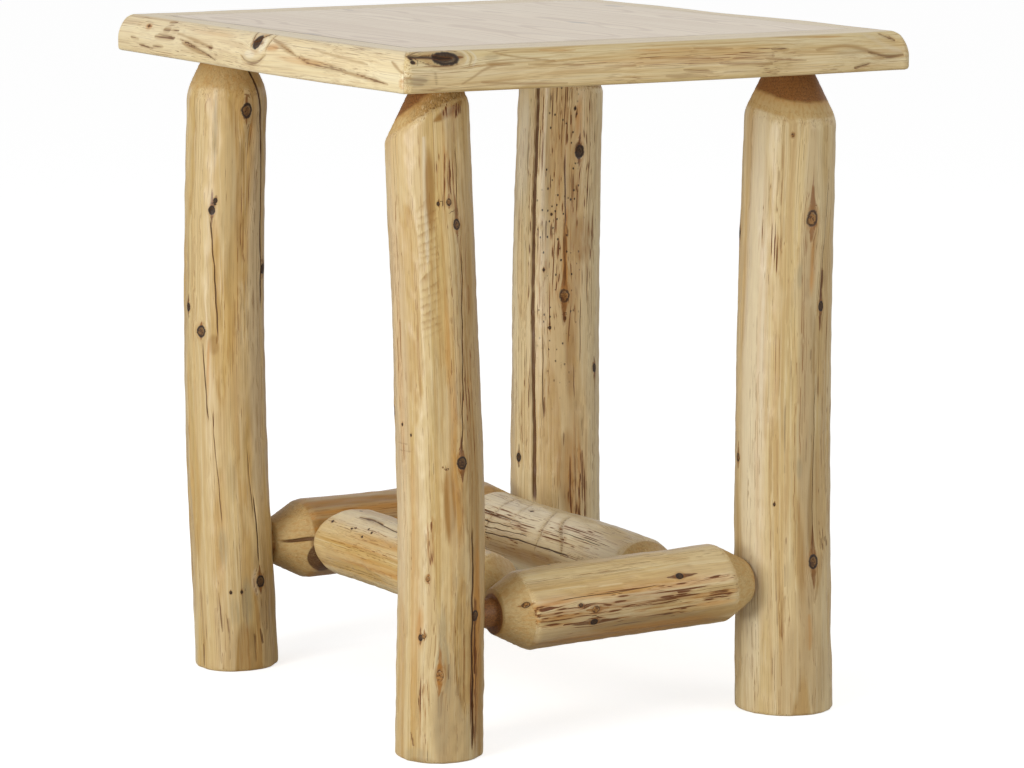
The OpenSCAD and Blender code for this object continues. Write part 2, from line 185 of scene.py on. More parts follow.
def grown(around, along, girth, marks, lay):
    """Lays knots, stains and strokes on a map in millimetres; lay turns a mark's own place round
    the piece into millimetres. Returns how far each point is lifted, how far its grain is pushed
    round the piece, and the vectors knot, tint, wear and shade.
    Grain round a knot of radius r is pushed by du * r^2 / q^2, with q the distance to the knot."""

    def across(place):
        gap = around - place
        return (gap + girth / 2) % girth - girth / 2 if girth else gap

    def beside(way):
        """Distance to the line through some places, and how slim it is there, with pointed ends."""
        places = [(lay(place), height) for place, height in pairs(way)]
        if len(places) > 2:
            share = np.linspace(0, 1, 8 * len(places))
            places = list(zip(*(curve(side, share) for side in zip(*places))))
        away, at = np.full(around.shape, FAR), np.zeros(around.shape)
        runs = np.cumsum([0] + [math.dist(a, b) for a, b in zip(places, places[1:])])
        for (u0, v0), (u1, v1), run, end in zip(places, places[1:], runs, runs[1:]):
            gap, rest = across(u0), along - v0
            t = np.clip((gap * (u1 - u0) + rest * (v1 - v0)) / (end - run) ** 2, 0, 1)
            here = np.hypot(gap - t * (u1 - u0), rest - t * (v1 - v0))
            at = np.where(here < away, (run + t * (end - run)) / runs[-1], at)
            away = np.minimum(away, here)
        return np.maximum(away + RAGGED * ragged, 0), 0.3 + 0.7 * np.sqrt(4 * at * (1 - at))

    ragged = ripple(91, 0, along + 0.6 * around, 0, (12, 50), 16)
    lift, push, halo, dark, stroke = (np.zeros(around.shape) for _ in range(5))
    nearest = np.full(around.shape, FAR)
    knot = np.zeros(around.shape + (3,))
    for place, height, radius, darkness, rise, tail, *longer in marks["knots"]:
        stretch = longer[0] if longer else STRETCH
        du, dv = across(lay(place)), along - height
        q = np.hypot(du, dv / stretch) / radius
        near = q < nearest
        nearest = np.where(near, q, nearest)
        reach = 1 - step(*KNOT_REACH, q)
        knot[near] = np.stack([du / radius, dv / radius / stretch, reach], -1)[near]
        dark = np.where(near, darkness, dark)
        q_long = np.hypot(du, dv / FLOW_STRETCH) / radius
        flow = np.minimum(q_long**2, 1 / np.maximum(q_long, 1) ** 2)
        push += du * flow * (1 - step(*FLOW_REACH, q_long))
        length = stretch * radius + np.where(dv > 0, 1.0, EYE_BELOW) * tail
        eye = EYE_W * radius * np.clip(1 - (abs(dv) / length) ** 0.75, 0, 1)
        inside = np.clip(1 - abs(du) / np.maximum(eye, 0.05), 0, 1) * step(0, 1, eye)
        halo = np.maximum(halo, inside)
        lift += rise * (np.exp(-(q / COLLAR_R) ** 2) - PLUG_DIP * np.exp(-(q / PLUG_R) ** 2))
        lift -= PIT * radius * darkness * (1 - step(0.35, 1.0, q)) * (darkness > PIT_FROM)
    stain = {}
    for kind, level in dict(STAINS, **marks.get("all_over", {})).items():
        stain[kind] = np.full(around.shape, level)
        for place, height, half_around, half_along, strength in marks.get(kind, []):
            u, v = across(lay(place)) / half_around, (along - height) / half_along
            patch = strength * (1 - step(0.5, 1.1, np.hypot(u, v)))
            stain[kind] = np.maximum(stain[kind], patch)
        for width, strength, *way in marks.get("brushed_" + kind, []):
            away, slim = beside(way)
            patch = strength * (1 - step(0.1, 1.0, away / width / slim))
            stain[kind] = np.maximum(stain[kind], patch)
    for width, depth, darkness, *way in marks.get("strokes", []):
        away, slim = beside(way)
        line = 1 - step(0.3, 1.0, away / width / slim)
        stroke = np.maximum(stroke, line * darkness)
        near_line = 0.8 * darkness * (1 - step(0.5, 3.0, away / width / slim))
        stain["shade"] = np.maximum(stain["shade"], near_line)
        lift -= depth * line
    return lift, push, {
        "knot": knot,
        "tint": np.stack([stain["orange"], stain["grey"], dark], -1),
        "wear": np.stack([stroke, stain["flecks"], halo], -1),
        "shade": np.stack([stain["shade"], stain["pale"], stain["pins"]], -1),
    }


spot, one_knot = np.array([[4.0]]), dict(knots=[(0, 0, 4, 0.8, 0.6, 20)])
rise = grown(spot, 0 * spot, None, one_knot, float)[0]
print("at a knot's edge the wood rises by", round(float(rise[0, 0]), 2), "mm")

# %% [markdown]
# ## The logs and their measures
#
# These are the CAD model's measures in millimetres: end diameters d, bends x and y, and the turn
# of the oval in degrees. Places on a log are an angle in degrees and a height above its foot or its
# first shoulder. A leg's angles start at the right and go round through the back. A level log's go
# from the back or the left side, up over the top. How rough the cutter left a log is torn, and
# torn_at is the side where it did. The pale wood is sap deep, and ease rounds the cone's edge.

# %% The logs and their measures
UNDER_TOP = 576.5
TABLE_TOP = 610.0
LEG_X, LEG_Y = 177.0, 200.5
TENON_R, SHOULDER_R, TENON_BEVEL = 12.7, 20.0, 2.0
LEG_CONE, SIDE_CONE = math.radians(26), math.radians(27.5)
LEG_TENON, SIDE_TENON = 25.0, 42.0
OVAL = 0.012
LOGS = {
    "leg_front_left": dict(
        d=(75, 70.5), x=(1.5, 2, -1.5, -6), y=(1.5, -3, 2.5, 7), turn=20, seed=11, flats=12,
        torn=0.9, torn_at=-80, sap=7.6, all_over=dict(shade=0.42)),
    "leg_front_right": dict(
        d=(87.5, 81), x=(1, -1, -2.5, 2), y=(-1, 2.5, -1, -1.5), turn=140, seed=12, flats=14,
        torn=0.05, sap=7.2, ease=3.0, all_over=dict(pale=0.25, shade=0.18)),
    "leg_back_left": dict(
        d=(78, 73), x=(2, -2.5, -3, 1), y=(-2, 4, 4.5, 0), turn=250, seed=13, flats=13,
        torn=0.2, sap=10.5, ease=5.0, all_over=dict(flecks=0.2, shade=0.34)),
    "leg_back_right": dict(
        d=(87.5, 81), x=(0, -2.5, 0, 4), y=(1, -1, 1, -2.5), turn=75, seed=14, flats=14,
        torn=1.0, all_over=dict(grey=0.1, flecks=0.18, pale=0.4)),
    "stretcher_front": dict(
        d=(69.5, 69.5), x=(0, 2, 1, -1), y=(-2, -0.5, 1, 2.5), turn=200, seed=15, flats=12,
        torn=0.2, sap=16.0, all_over=dict(pale=0.2)),
    "stretcher_back": dict(
        d=(75.5, 73), x=(0, -1.5, 1, 0), y=(0, 0.5, 0.5, 0), turn=310, seed=16, flats=9,
        torn=0.25, sap=24.0, all_over=dict(shade=1.3, orange=0.3)),
    "cross_log_left": dict(
        d=(66.5, 65), x=(-7, -8, -9, -10), y=(4, 4.5, 4, 1), turn=35, seed=17, flats=11,
        torn=0.15, sap=24.0),
    "cross_log_right": dict(
        d=(72, 71), x=(0, -1.5, 1, 0), y=(0, 1, 0, 0), turn=170, seed=18, flats=12,
        torn=0.25, sap=14.0, all_over=dict(flecks=0.3, pale=0.9)),
}


def body(log, angle, along):
    """Place of the pith and radius of a log: the radius goes evenly from end to end, times 1 plus
    an oval and a three-sided wave that turn slowly along it."""
    share = np.clip(along / log["length"], 0, 1)
    turn = math.radians(log["turn"])
    wave = np.cos(2 * angle + turn + TAU / 6 * share)
    wave = wave + 0.6 * np.cos(3 * angle - turn - TAU / 1.8 * share)
    radius = (log["d"][0] + (log["d"][1] - log["d"][0]) * share) / 2 * (1 + OVAL * wave)
    return curve(log["x"], share), curve(log["y"], share), radius


def face(name, height, degrees):
    """How far a log's face stands from its tenon axis at a height, in a direction."""
    angle = math.radians(degrees)
    x, y, radius = body(LOGS[name], angle, np.array(float(height)))
    return float(x * math.cos(angle) + y * math.sin(angle) + radius)


def lay_log(name, faces, shows, place, way):
    """Notes the length of a level log between its shoulders, which show a bit of cone off the faces
    that it meets, its tenons, which go SIDE_TENON past the faces, its place and its directions."""
    length = faces[1] - shows[1] - (faces[0] + shows[0])
    LOGS[name].update(length=length, first=shows[0] + SIDE_TENON, last=shows[1] + SIDE_TENON,
                      place=place, way=way)


AHEAD = ((0, 1, 0), (0, 0, 1), (1, 0, 0))
ACROSS = ((-1, 0, 0), (0, 0, 1), (0, 1, 0))
UPRIGHT = ((1, 0, 0), (0, 1, 0), (0, 0, 1))
STRETCHER_Z = {"front": 119.0, "back": 113.0}
HANDS = ("left", "right")
SHOULDER_GAP, FRONT_SHOW, BACK_SHOW, CROSS_SHOW = 0.6, 14.0, 6.0, 4.0
for end, y, shows in (("front", -LEG_Y, (FRONT_SHOW, SHOULDER_GAP)),
                      ("back", LEG_Y, (SHOULDER_GAP, BACK_SHOW))):
    for hand, x in zip(HANDS, (-LEG_X, LEG_X)):
        LOGS[f"leg_{end}_{hand}"].update(
            length=UNDER_TOP, first=0, last=LEG_TENON, place=(x, y, 0), way=UPRIGHT)
    z = STRETCHER_Z[end]
    faces = (-LEG_X + face(f"leg_{end}_left", z, 0), LEG_X - face(f"leg_{end}_right", z, 180))
    lay_log(f"stretcher_{end}", faces, shows, (faces[0] + shows[0], y, z), AHEAD)
for name, x, show in (("cross_log_left", -91.0, CROSS_SHOW),
                      ("cross_log_right", 69.0, SHOULDER_GAP)):
    starts = {end: LOGS[f"stretcher_{end}"]["place"][0] for end in STRETCHER_Z}
    faces = (-LEG_Y + face("stretcher_front", x - starts["front"], 0),
             LEG_Y - face("stretcher_back", x - starts["back"], 180))
    z = sum(STRETCHER_Z.values()) / 2
    lay_log(name, faces, (show, SHOULDER_GAP), (x, faces[0] + show, z), ACROSS)
print({name: round(log["length"], 1) for name, log in LOGS.items()})

# %% [markdown]
# ## Knots, cracks and stains of each log
#
# Each log is told apart by what grew in it, and some of its shade and pale stains are painted shade
# and painted light, where that part of the log lies in shade or in the light. Besides the marks
# above, a log may have broad flats, each with an angle, a bite and the two heights between which it
# lies, and hewn marks, with an angle, a height, half their width and half their length.

# %% Marks of the front legs
LOGS["leg_front_left"].update(
    hewn=(-123, 425, 9.5, 60),
    knots=[(-81, 461, 3.4, 0.7, 0.5, 24), (-92, 480, 2.4, 0.5, 0.2, 6), (-107, 479, 1.3, 0.9, 0, 6),
        (-88, 260, 4.4, 0.78, 0.6, 20), (-115, 257, 0.6, 0.5, 0, 3), (-111, 255, 0.6, 0.5, 0, 3),
        (-138, 161, 2, 0.25, 0.2, 5), (-69, 127, 3.6, 0.8, 0.6, 16), (-147, 110, 2, 0.85, 0.2, 9),
        (-141, 112, 1.6, 0.3, 0.2, 7), (-120, 78, 3.4, 0.2, 0.6, 26, 1.7),
        (60, 390, 4.2, 0.8, 0.7, 25), (115, 160, 3.6, 0.5, 0.6, 20), (20, 480, 3, 0.9, 0.5, 14),
        (-20, 60, 3.4, 0.6, 0.6, 18), (150, 300, 3, 0.6, 0.5, 16), (-160, 283, 0.9, 0.9, 0, 3),
        (-176, 291, 0.9, 0.9, 0, 3)],
    cracks=[(0.9, 1.5, 0.9, -68, 205, -69, 172, -70, 140, -70, 112, -67, 71, -66, 8),
        (0.7, 0.9, 0.85, -74, 440, -76, 394, -80, 340, -84, 290, -87, 266),
        (0.4, 0.7, 0.7, -84, 466, -83, 530), (0.6, 1.6, 0.9, 80, 20, 84, 140, 78, 330)],
    strokes=[(1.4, 0.1, 0.45, -194, 274, -180, 275, -167, 275),
        (1.4, 0.1, 0.45, -189, 268, -172, 269, -159, 269),
        (2.6, 0.5, 0.8, -69, 122, -68, 96, -68, 76), (0.9, 0.3, 0.6, -72, 96, -70, 20),
        (1.2, 0.4, 0.7, -63, 90, -62, 10), (1.4, 0.2, 0.7, -161, 26, -156, 14),
        (1.5, 0.1, 0.6, -109, 88, -109, 74)],
    broad_flats=[(-154, 1.6, 300, 470), (-109, 1.3, 330, 560), (-78, 0.9, 200, 560)],
    orange=[(178, 300, 8, 330, 0.3), (-158, 150, 6, 150, 0.4), (-62, 110, 9, 100, 0.8),
        (-146, 118, 7, 22, 0.7), (-96, 300, 10, 130, 0.5)],
    # The pale stain lightens the left side: partly paler wood, partly painted light from the key
    # lamp's side.
    pale=[(176, 330, 17, 250, 0.9)],
    flecks=[(-92, 490, 14, 56, 0.9), (-132, 194, 7, 28, 1.3), (-67, 60, 8, 66, 1.6),
        (-70, 330, 12, 120, 0.6), (-140, 40, 8, 50, 0.8), (40, 200, 40, 220, 0.6),
        (-82, 556, 12, 9, 1.8)],
    grey=[(-117, 110, 4, 34, 0.9), (-108, 74, 3, 26, 0.8), (-117, 30, 7, 34, 0.6),
        (-117, 310, 10, 60, 0.35), (-150, 6, 16, 9, 0.8)],
    # The first two shade stains darken the right side: partly darker wood, partly painted shade on
    # the side turned from the lamps. The third is painted shade low on the leg, near the floor.
    shade=[(-56, 330, 24, 260, 1), (-56, 110, 20, 180, 1), (-110, 40, 18, 70, 1),
        (-107, 225, 7, 44, 1.3), (-118, 490, 6, 46, 1.3), (-96, 400, 12, 150, 0.3)],
    brushed_shade=[(7, 1.2, -70, 118, -67, 60, -65, 6), (4, 0.7, -151, 136, -149, 114),
        (2.2, 1, -93, 330, -94, 290), (5, 0.9, -160, 3, -140, 3, -125, 3),
        (7, 1.5, -108, 548, -92, 554, -76, 558, -62, 563)],
    brushed_grey=[(2.4, 1.3, -114, 114, -110, 94, -108, 80, -113, 62),
        (2, 1.2, -116, 110, -124, 90, -125, 72), (4, 1.1, -118, 64, -119, 40)],
    brushed_orange=[(3.4, 1.8, -121, 88, -121, 70)],
    # The brushed pale line is a painted highlight along a ridge.
    brushed_pale=[(3.4, 1.5, -124, 535, -124, 500, -125, 430)])
LOGS["leg_front_right"].update(
    knots=[(-92, 447, 5.4, 0.5, 0.5, 30), (-74, 368, 3.4, 0.9, 0.4, 34),
        (-84, 139, 5, 0.65, 0.5, 32), (-133, 192, 1.1, 0.8, 0, 3), (30, 300, 4.4, 0.8, 0.7, 26),
        (95, 110, 4, 0.6, 0.6, 22), (150, 430, 3.6, 0.9, 0.6, 18), (170, 230, 2.8, 0.6, 0.4, 14),
        (60, 500, 3.2, 0.7, 0.5, 20), (-20, 180, 3.4, 0.8, 0.5, 20), (-120, 520, 1.6, 0.2, 0, 5)],
    cracks=[(0.6, 0.8, 0.85, -78, 300, -80, 262, -81, 204, -81, 148),
        (0.7, 0.8, 0.85, -66, 480, -70, 440, -74, 400, -75, 372),
        (0.7, 2, 0.9, 64, 60, 70, 220, 66, 420, 70, 540)],
    strokes=[(1.6, 0.2, 0.7, -71, 160, -66, 148), (1.6, 0.2, 0.7, -62, 160, -58, 150),
        (2, 0.2, 0.7, -72, 384, -71, 400), (0.7, 0, 0.55, -157, 305, -158, 281),
        (0.7, 0, 0.5, -144, 270, -145, 239), (0.8, 0, 0.55, -115, 324, -113, 284),
        (0.7, 0, 0.5, -121, 288, -121, 221), (0.8, 0, 0.55, -119, 162, -121, 118),
        (0.7, 0, 0.5, -95, 292, -94, 220), (0.7, 0, 0.5, -130, 144, -132, 68),
        (0.7, 0, 0.45, -125, 108, -124, 50), (0.7, 0, 0.45, -105, 76, -104, 22),
        (0.9, 0.1, 0.55, -90, 336, -87, 308), (0.7, 0, 0.45, -136, 62, -139, 22)],
    grey=[(-106, 396, 3, 14, 0.9), (-103, 224, 3, 12, 0.9)],
    orange=[(-84, 420, 7, 40, 0.45), (-90, 405, 4, 30, 0.8), (-150, 280, 7, 250, 0.3)],
    # The pale stain is paler wood with painted light along the left side.
    pale=[(-165, 300, 18, 360, 1.3)],
    flecks=[(-66, 260, 14, 240, 0.5), (-140, 440, 20, 60, 0.55), (100, 300, 50, 260, 0.55)],
    # The second shade stain is painted shade low on the leg, near the floor.
    shade=[(-95, 260, 11, 340, 1), (-100, 40, 34, 60, 0.6)],
    brushed_shade=[(2.4, 1.2, -86, 136, -87, 118, -84, 102), (2, 1.2, -78, 136, -79, 118, -83, 104),
        (2.8, 1.7, -97, 446, -99, 434, -99, 412), (2.6, 1.5, -88, 440, -90, 412)],
    brushed_orange=[(5, 0.55, -92, 92, -92, 60)])
print("knots of the front legs:", [len(LOGS[f"leg_front_{hand}"]["knots"]) for hand in HANDS])

# %% Marks of the back legs
LOGS["leg_back_left"].update(
    knots=[(-86, 525, 5.4, 0.65, 0.7, 12), (-134, 434, 3, 1, 0.7, 20), (-129, 443, 1.8, 1, 0.2, 6),
        (-176, 342, 3, 1, 0.6, 14), (-149, 321, 4.2, 0.7, 1.5, 5), (-42, 376, 3.6, 0.9, 1.2, 10),
        (-74, 84, 4.2, 0.8, 0.5, 14), (-119, 76, 1.2, 0.9, 0, 3), (-104, 76, 1.2, 0.9, 0, 3),
        (40, 210, 4, 0.8, 0.7, 22), (110, 400, 4, 0.6, 0.6, 24), (85, 90, 3, 0.9, 0.5, 14)],
    cracks=[(2.4, 2.4, 0.95, -76, 574, -66, 552, -57, 525, -51, 480, -49, 421, -48, 340),
        (0.6, 1.2, 0.8, -132, 428, -127, 388, -123, 351, -121, 312),
        (0.7, 0.3, 0.5, -84, 215, -83, 190, -80, 165, -79, 142),
        (0.8, 0.6, 0.85, -80, 168, -79, 142, -77, 98),
        (0.6, 0.7, 0.85, -145, 312, -141, 262, -139, 235),
        (0.6, 0.3, 0.5, -140, 250, -137, 205, -134, 183, -132, 136),
        (0.5, 1, 0.8, -167, 512, -165, 465)],
    strokes=[(1.6, 0.2, 0.8, -167, 24, -167, 3), (2, 0.3, 0.9, -86, 35, -88, 6),
        (1.5, 0.2, 0.8, -78, 40, -75, 25), (1.3, 0.1, 0.7, -136, 76, -133, 38),
        (1.4, 0.1, 0.5, -187, 240, -190, 183, -181, 130),
        (0.8, 0.1, 0.65, -75, 100, -85, 86, -79, 71),
        (0.9, 0.1, 0.55, -127, 56, -124, 36, -124, 12)],
    grey=[(-132, 508, 3, 42, 1), (-96, 65, 7, 28, 1.1), (-126, 118, 5, 22, 0.9),
        (-115, 57, 5, 16, 0.9), (-111, 183, 5, 26, 0.7), (-110, 440, 8, 110, 0.4)],
    orange=[(-138, 288, 4, 34, 0.9), (-100, 506, 3, 9, 1), (-76, 506, 3, 9, 1),
        (-92, 572, 3, 14, 1), (-88, 420, 8, 120, 0.15), (-95, 200, 10, 190, 0.12),
        (-172, 250, 8, 240, 0.4)],
    flecks=[(-75, 400, 16, 150, 0.5), (-120, 30, 40, 34, 0.3), (90, 260, 60, 280, 0.5)],
    pale=[(-64, 330, 13, 250, 0.8)],
    # The first two shade stains are painted shade low on the leg, near the floor.
    shade=[(-98, 16, 26, 40, 0.9), (-78, 70, 8, 60, 0.9), (-131, 309, 7, 13, 0.9)],
    brushed_pale=[(4, 1.4, -82, 96, -84, 84, -80, 72)],
    brushed_shade=[(1.8, 1.2, -124, 52, -123, 14), (1.8, 1.2, -166, 76, -164, 24),
        (1.6, 1, -97, 262, -96, 244), (2, 1, -142, 60, -136, 8), (1.8, 1, -64, 256, -72, 196)])
LOGS["leg_back_right"].update(
    knots=[(-92, 470, 4.8, 1, 0.5, 14), (-109, 331, 4.8, 0.5, 0.5, 30),
        (-59, 258, 3.2, 0.9, 0.4, 10), (-176, 170, 3.2, 0.9, 0.4, 12),
        (-108, 309, 1.4, 0.9, 0.1, 6), (-128, 300, 1.4, 1, 0, 3), (-128, 410, 1.1, 1, 0, 3),
        (-100, 512, 1.2, 1, 0, 3), (-137, 356, 1.2, 1, 0, 3), (20, 380, 4.2, 0.8, 0.7, 24),
        (70, 190, 4.2, 0.7, 0.7, 24), (140, 290, 3.4, 0.9, 0.5, 16), (100, 480, 3.2, 0.9, 0.5, 14)],
    cracks=[(3.2, 3.2, 0.72, -156, 574, -155, 531, -154, 452, -154, 363, -152, 248, -150, 124),
        (0.9, 1, 0.8, -112, 470, -110, 430, -109, 395),
        (0.7, 0.6, 0.8, -138, 296, -138, 262, -137, 206), (0.5, 0.3, 0.6, -86, 335, -86, 262),
        (0.6, 0.3, 0.65, -95, 268, -95, 226), (0.7, 2, 0.9, 30, 60, 26, 240, 32, 430)],
    strokes=[(3.2, 0.2, 0.7, -110, 402, -109, 385, -109, 340),
        (2.4, 0.2, 0.7, -109, 326, -109, 306), (2, 0.2, 0.6, -108, 400, -104, 388),
        (4.4, 0.1, 0.55, -109, 336, -109, 302), (0.9, 0.1, 0.65, -94, 178, -93, 140, -93, 108),
        (0.7, 0, 0.65, -100, 172, -100, 113), (1, 0.1, 0.65, -87, 150, -87, 110),
        (0.9, 0, 0.65, -76, 148, -78, 113), (1.2, 0.1, 0.75, -109, 198, -109, 184),
        (0.9, 0, 0.6, -108, 148, -108, 132), (1.2, 0.1, 0.75, -135, 232, -135, 213),
        (0.8, 0, 0.55, -81, 222, -83, 182), (0.8, 0, 0.5, -86, 329, -86, 280),
        (0.8, 0, 0.55, -73, 329, -73, 294), (2, 0.2, 0.8, -89, 476, -95, 478, -98, 470)],
    flecks=[(-116, 440, 60, 190, 0.8), (-158, 280, 12, 150, 0.7), (-90, 140, 14, 56, 1.5),
        (-122, 386, 9, 30, 1.3), (-70, 389, 6, 30, 1.3), (90, 300, 80, 300, 0.6)],
    orange=[(-90, 500, 8, 30, 0.8), (-108, 375, 4, 52, 1), (-94, 150, 12, 70, 0.7)],
    pins=[(-118, 400, 30, 190, 1)],
    grey=[(-136, 420, 6, 150, 0.9), (-165, 440, 8, 120, 0.5)],
    # The pale stain is painted light high on the left side, under the table top.
    pale=[(-178, 470, 16, 70, 1.2)],
    shade=[(-86, 385, 15, 30, 0.9), (-105, 160, 12, 56, 1.3), (-101, 270, 9, 60, 0.9),
        (-112, 320, 26, 240, 0.6)])
print("knots of the back legs:", [len(LOGS[f"leg_back_{hand}"]["knots"]) for hand in HANDS])

# %% Marks of the level logs
LOGS["stretcher_front"].update(
    knots=[(149, 172, 2.8, 1, 0.3, 18), (-161, 83, 2.7, 1, 0.3, 40), (158, 17, 2.8, 0.45, 0.2, 7),
        (171, 69, 1.6, 0.7, 0.2, 6), (180, 84, 3, 0.35, 0.3, 12), (40, 150, 3.6, 0.8, 0.6, 20),
        (-60, 200, 3.2, 0.6, 0.5, 16), (75, 60, 2.6, 0.9, 0.4, 12)],
    cracks=[(0.4, 0.7, 0.7, 159, 46, 160, 100, 158, 152)],
    flecks=[(168, 42, 5, 26, 1.3), (-168, 46, 5, 28, 1.3), (-179, 42, 14, 34, 1.1),
        (-174, 208, 8, 24, 1.3), (162, 210, 5, 18, 1.2), (-178, 125, 24, 100, 1.15)],
    orange=[(176, 45, 16, 40, 0.9), (-176, 205, 12, 34, 0.8), (165, 130, 12, 110, 0.6),
        (-130, 120, 14, 110, 0.6)],
    grey=[(-150, 130, 6, 70, 0.5)],
    # The first shade stain is painted shade on the underside of the log.
    shade=[(-128, 120, 28, 150, 1.1), (177, 132, 10, 56, 1), (-174, 76, 12, 60, 0.8)])
LOGS["stretcher_back"].update(
    knots=[(-168, -12, 1.7, 1, 0, 3), (60, 120, 3.4, 0.8, 0.6, 18), (-80, 60, 3.4, 0.7, 0.6, 18),
        (20, 220, 3, 0.9, 0.5, 14)],
    cracks=[(3, 3, 0.75, 171, -2, 172, 12, 171, 24, 170, 38)],
    orange=[(144, 95, 19, 110, 0.75), (-168, 90, 22, 110, 0.8), (-120, 120, 24, 125, 0.8)],
    grey=[(171, 18, 5, 24, 1.3)],
    # The strong shade stains are dark bark patches near the left cone, partly painted shade there.
    shade=[(-160, 38, 20, 17, 3.6), (-146, 42, 14, 14, 2.4), (178, 34, 12, 12, 2),
        (158, 50, 6, 12, 2.4)])
LOGS["cross_log_left"].update(
    knots=[(44, 297, 1.5, 0.8, 0, 3), (41, 255, 1.1, 1, 0, 3), (44, 249, 1, 1, 0, 3),
        (49, 227, 1, 1, 0, 3), (44, 217, 1.1, 1, 0, 3), (33, 229, 1.1, 1, 0, 3),
        (86, 279, 1.4, 0.8, 0, 3), (120, 170, 3.4, 0.8, 0.5, 16), (-100, 200, 3.6, 0.8, 0.6, 18),
        (165, 90, 3.2, 0.9, 0.5, 16)],
    cracks=[(0.5, 1, 0.85, -34, 290, -32, 200, -30, 120), (0.8, 1, 0.9, 70, 238, 62, 196, 60, 150)],
    strokes=[(1.8, 0.4, 0.8, 67, 262, 69, 236, 67, 214)],
    pale=[(62, 200, 16, 140, 0.9)],
    orange=[(2, 165, 25, 145, 0.75)],
    grey=[(70, 240, 4, 12, 1.4), (74, 180, 12, 90, 0.5)],
    flecks=[(50, 230, 18, 70, 0.4), (-10, 200, 14, 130, 0.35), (160, 160, 50, 150, 0.5)])
LOGS["cross_log_right"].update(
    knots=[(-60, 120, 3.4, 0.9, 0.5, 16), (150, 240, 3.4, 0.8, 0.5, 16),
        (70, 205, 1.6, 0.9, 0.2, 8)],
    cracks=[(0.7, 1.2, 0.9, 12, 290, 16, 190, 14, 100), (0.6, 1, 0.9, 30, 280, 33, 210),
        (0.6, 1, 0.9, 44, 288, 42, 200), (0.5, 1, 0.9, 48, 150, 46, 60),
        (0.5, 1, 0.8, 22, 270, 24, 180)],
    strokes=[(2.6, 0.4, 0.4, 95, 258, 60, 252, 25, 256, 0, 246),
        (2.4, 0.4, 0.35, 95, 226, 60, 218, 30, 220),
        (3, 0.7, 0.45, 92, 180, 75, 172, 52, 166, 30, 162, 10, 164),
        (3.4, 0.9, 0.5, 84, 150, 66, 146, 48, 136, 32, 124, 12, 118)],
    flecks=[(28, 235, 26, 80, 0.85), (40, 110, 26, 75, 0.75)],
    # The shade stain is a painted shadow on the log's left side; the first pale stain is painted
    # light on its upper side.
    shade=[(0, 195, 15, 100, 1.1)],
    pale=[(62, 180, 22, 170, 1.6), (40, 60, 16, 40, 1.4)])
print("knots of all logs:", sum(len(log["knots"]) for log in LOGS.values()))

# %% [markdown]
# ## Peeling and turning a log
#
# A drawknife takes off long flat shavings, so a peeled log is never quite round: it is a soft
# prism of a dozen flats that swell and fade. At its ends a tenon cutter, which works like a pencil
# sharpener, leaves a rough cone, a shoulder and a round tenon. Both are cuts, and the log is what
# is left inside all of them: the least of the round, the flats and the cutter's own radius. Columns
# of points stand close together at each crack, so that it is a real groove with steep walls.

# %% Measures of peeling and turning
COLUMNS = 176
CRACK_COLUMNS = (-2.2, -1, -0.4, 0.4, 1, 2.2)
ROW_STEP = 1.5
TENON_ROWS = 14
FLAT_DEPTH, FLAT_EASE = 1.0, 0.3
PROUD = 0.25
CONE_EASE = 1.5
RIDGE_W = 0.35
LEAN = math.radians(25)
FINE_WAVES = 0.16
CLEAN_CUT, TORN_CUT = 0.05, 0.3
SKIN = 0.9
SAP = 9.0
GRAIN_APART = 1000.0
FOOT = ((0, 3.0), (0.3, 1.9), (0.9, 0.9), (1.8, 0.3), (3.0, 0.0))
NOTCH_PITCH, NOTCH_DEPTH, NOTCH_SLANT = 7.5, 0.45, 0.45
print("flats that the drawknife leaves on all logs:", sum(log["flats"] for log in LOGS.values()))


# %% Rows along a log
def log_rows(log):
    """Heights of the rows, how far the round is inset at each, and the cutter's radius there: the
    cone's radius is the shoulder's plus its distance from the shoulder times the cone's slope."""
    length, first, last = log["length"], log["first"], log["last"]
    slope = math.tan(SIDE_CONE if first else LEG_CONE)
    start = 0 if first else FOOT[-1][0]
    middle = np.linspace(start, length, int((length - start) / ROW_STEP) + 1)
    cone = SHOULDER_R + (length - middle) * slope

    def tenon(reach, way):
        places = np.array([0, *np.linspace(0.5, reach - TENON_BEVEL, TENON_ROWS - 2), reach])
        return way * places, np.array([TENON_R] * (TENON_ROWS - 1) + [TENON_R - TENON_BEVEL])

    if first:
        cone = np.minimum(cone, SHOULDER_R + middle * slope)
        low, low_limit = (part[::-1] for part in tenon(first, -1))
        low_inset = np.zeros(TENON_ROWS)
    else:
        low, low_inset = np.array(FOOT[:-1]).T
        low_limit = np.full(len(low), FAR * 2)
    up, up_limit = tenon(last, 1)
    parts = ((low, middle, length + up), (low_inset, 0 * middle, 0 * up),
             (low_limit, cone, up_limit))
    return (np.concatenate(part)[:, None] for part in parts)


print("rows of the front left leg:", len(next(log_rows(LOGS["leg_front_left"]))))


